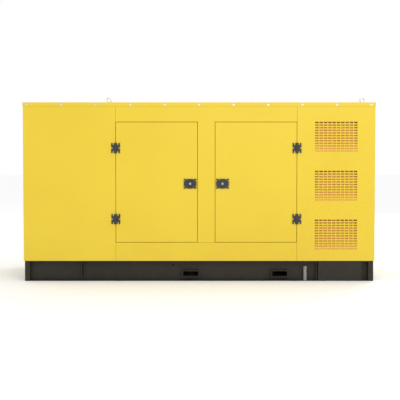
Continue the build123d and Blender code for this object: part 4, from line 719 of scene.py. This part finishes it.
# ---------------------------------------------------------------- battery top
# Vent caps, lead clamps on the posts and the hold-down bar across the case.
BATTERY_X, BATTERY_Y, BATTERY_TOP = 0.46, -0.448, 0.424
VENT_PITCH = 0.04
POST_REACH = 0.15
vents = [(BATTERY_X - 0.1 + VENT_PITCH * n, BATTERY_Y, BATTERY_TOP) for n in range(6)]
vent = [(0, 0.004), (0.006, 0.004), (0.0065, 0.0025), (0.012, 0.0035), (0.0125, 0.0)]
discs("battery_vents", vent, vents, FACING_Z, black_plastic, 20)
bar_place = [(BATTERY_X, BATTERY_Y, BATTERY_TOP + 0.003)]
blocks("battery_bar", (0.03, 0.15, 0.006), 0.002, bar_place, frame_coat)
post_clamp = [(0.0093, 0.0), (0.016, 0.0), (0.017, 0.003)]
post_clamp += [(0.017, 0.009), (0.0155, 0.0115), (0.0093, 0.0115)]
posts = [(BATTERY_X + d, BATTERY_Y, BATTERY_TOP + 0.002) for d in (-POST_REACH, POST_REACH)]
discs("post_clamps", post_clamp, posts, FACING_Z, bolt_steel, 24)

# ---------------------------------------------------------------- controls
# Dark glass over the controller's screen, pale membrane keys, three signal lamps, and screws in
# the corners of the controller and the breaker.
KEY_PITCH = 0.038
LAMP_PITCH = 0.022
LAMP_COLOURS = {"green": (0.02, 0.3, 0.05), "amber": (0.5, 0.2, 0.01), "red": (0.4, 0.01, 0.01)}
BREAKER_Y, BREAKER_Z = -0.06, 1.11
control_low, control_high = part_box("controller")
face_x = control_high.x
control_y = (control_low.y + control_high.y) / 2
control_z = (control_low.z + control_high.z) / 2
screen_glass = moulding("screen_glass", (0.012, 0.03, 0.028), (0.015, 0.036, 0.033), 0.12, 60.0, 0.00005)
screen = [(face_x - 0.0018, control_y, control_z + 0.026)]
blocks("controller_screen", (0.002, 0.118, 0.07), 0.0008, screen, screen_glass)
key_grey = moulding("key_grey", (0.42, 0.43, 0.44), (0.37, 0.38, 0.39), 0.5, 380.0, 0.0001)
keys = [(face_x, control_y + KEY_PITCH * (n - 2.5), control_z - 0.05) for n in range(6)]
blocks("controller_keys", (0.0012, 0.024, 0.018), 0.0005, keys, key_grey)
lamp_profile = [(0, 0.0035), (0.0025, 0.003), (0.0042, 0.0), (0.0042, -0.002)]
for number, (name, colour) in enumerate(LAMP_COLOURS.items()):
    dim = tuple(0.8 * c for c in colour)
    lens = moulding(f"lens_{name}", colour, dim, 0.15, 90.0, 0.00005)
    place = (face_x - 0.0008, control_y + 0.085, control_z + 0.05 - LAMP_PITCH * number)
    turned(f"lamp_{name}", lamp_profile, place, FACING_X, lens, ROOT, 20)
screws = [(face_x - 0.001, control_y + y, control_z + z) for y in (-0.108, 0.108) for z in (-0.075, 0.075)]
bolts("controller_screws", 0.004, 0.0025, screws, FACING_X, 12)
breaker_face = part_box("breaker")[1].x
screws = [(breaker_face, BREAKER_Y + y, BREAKER_Z + z) for y in (-0.042, 0.042) for z in (-0.072, 0.072)]
bolts("breaker_screws", 0.004, 0.002, screws, FACING_X, 12)
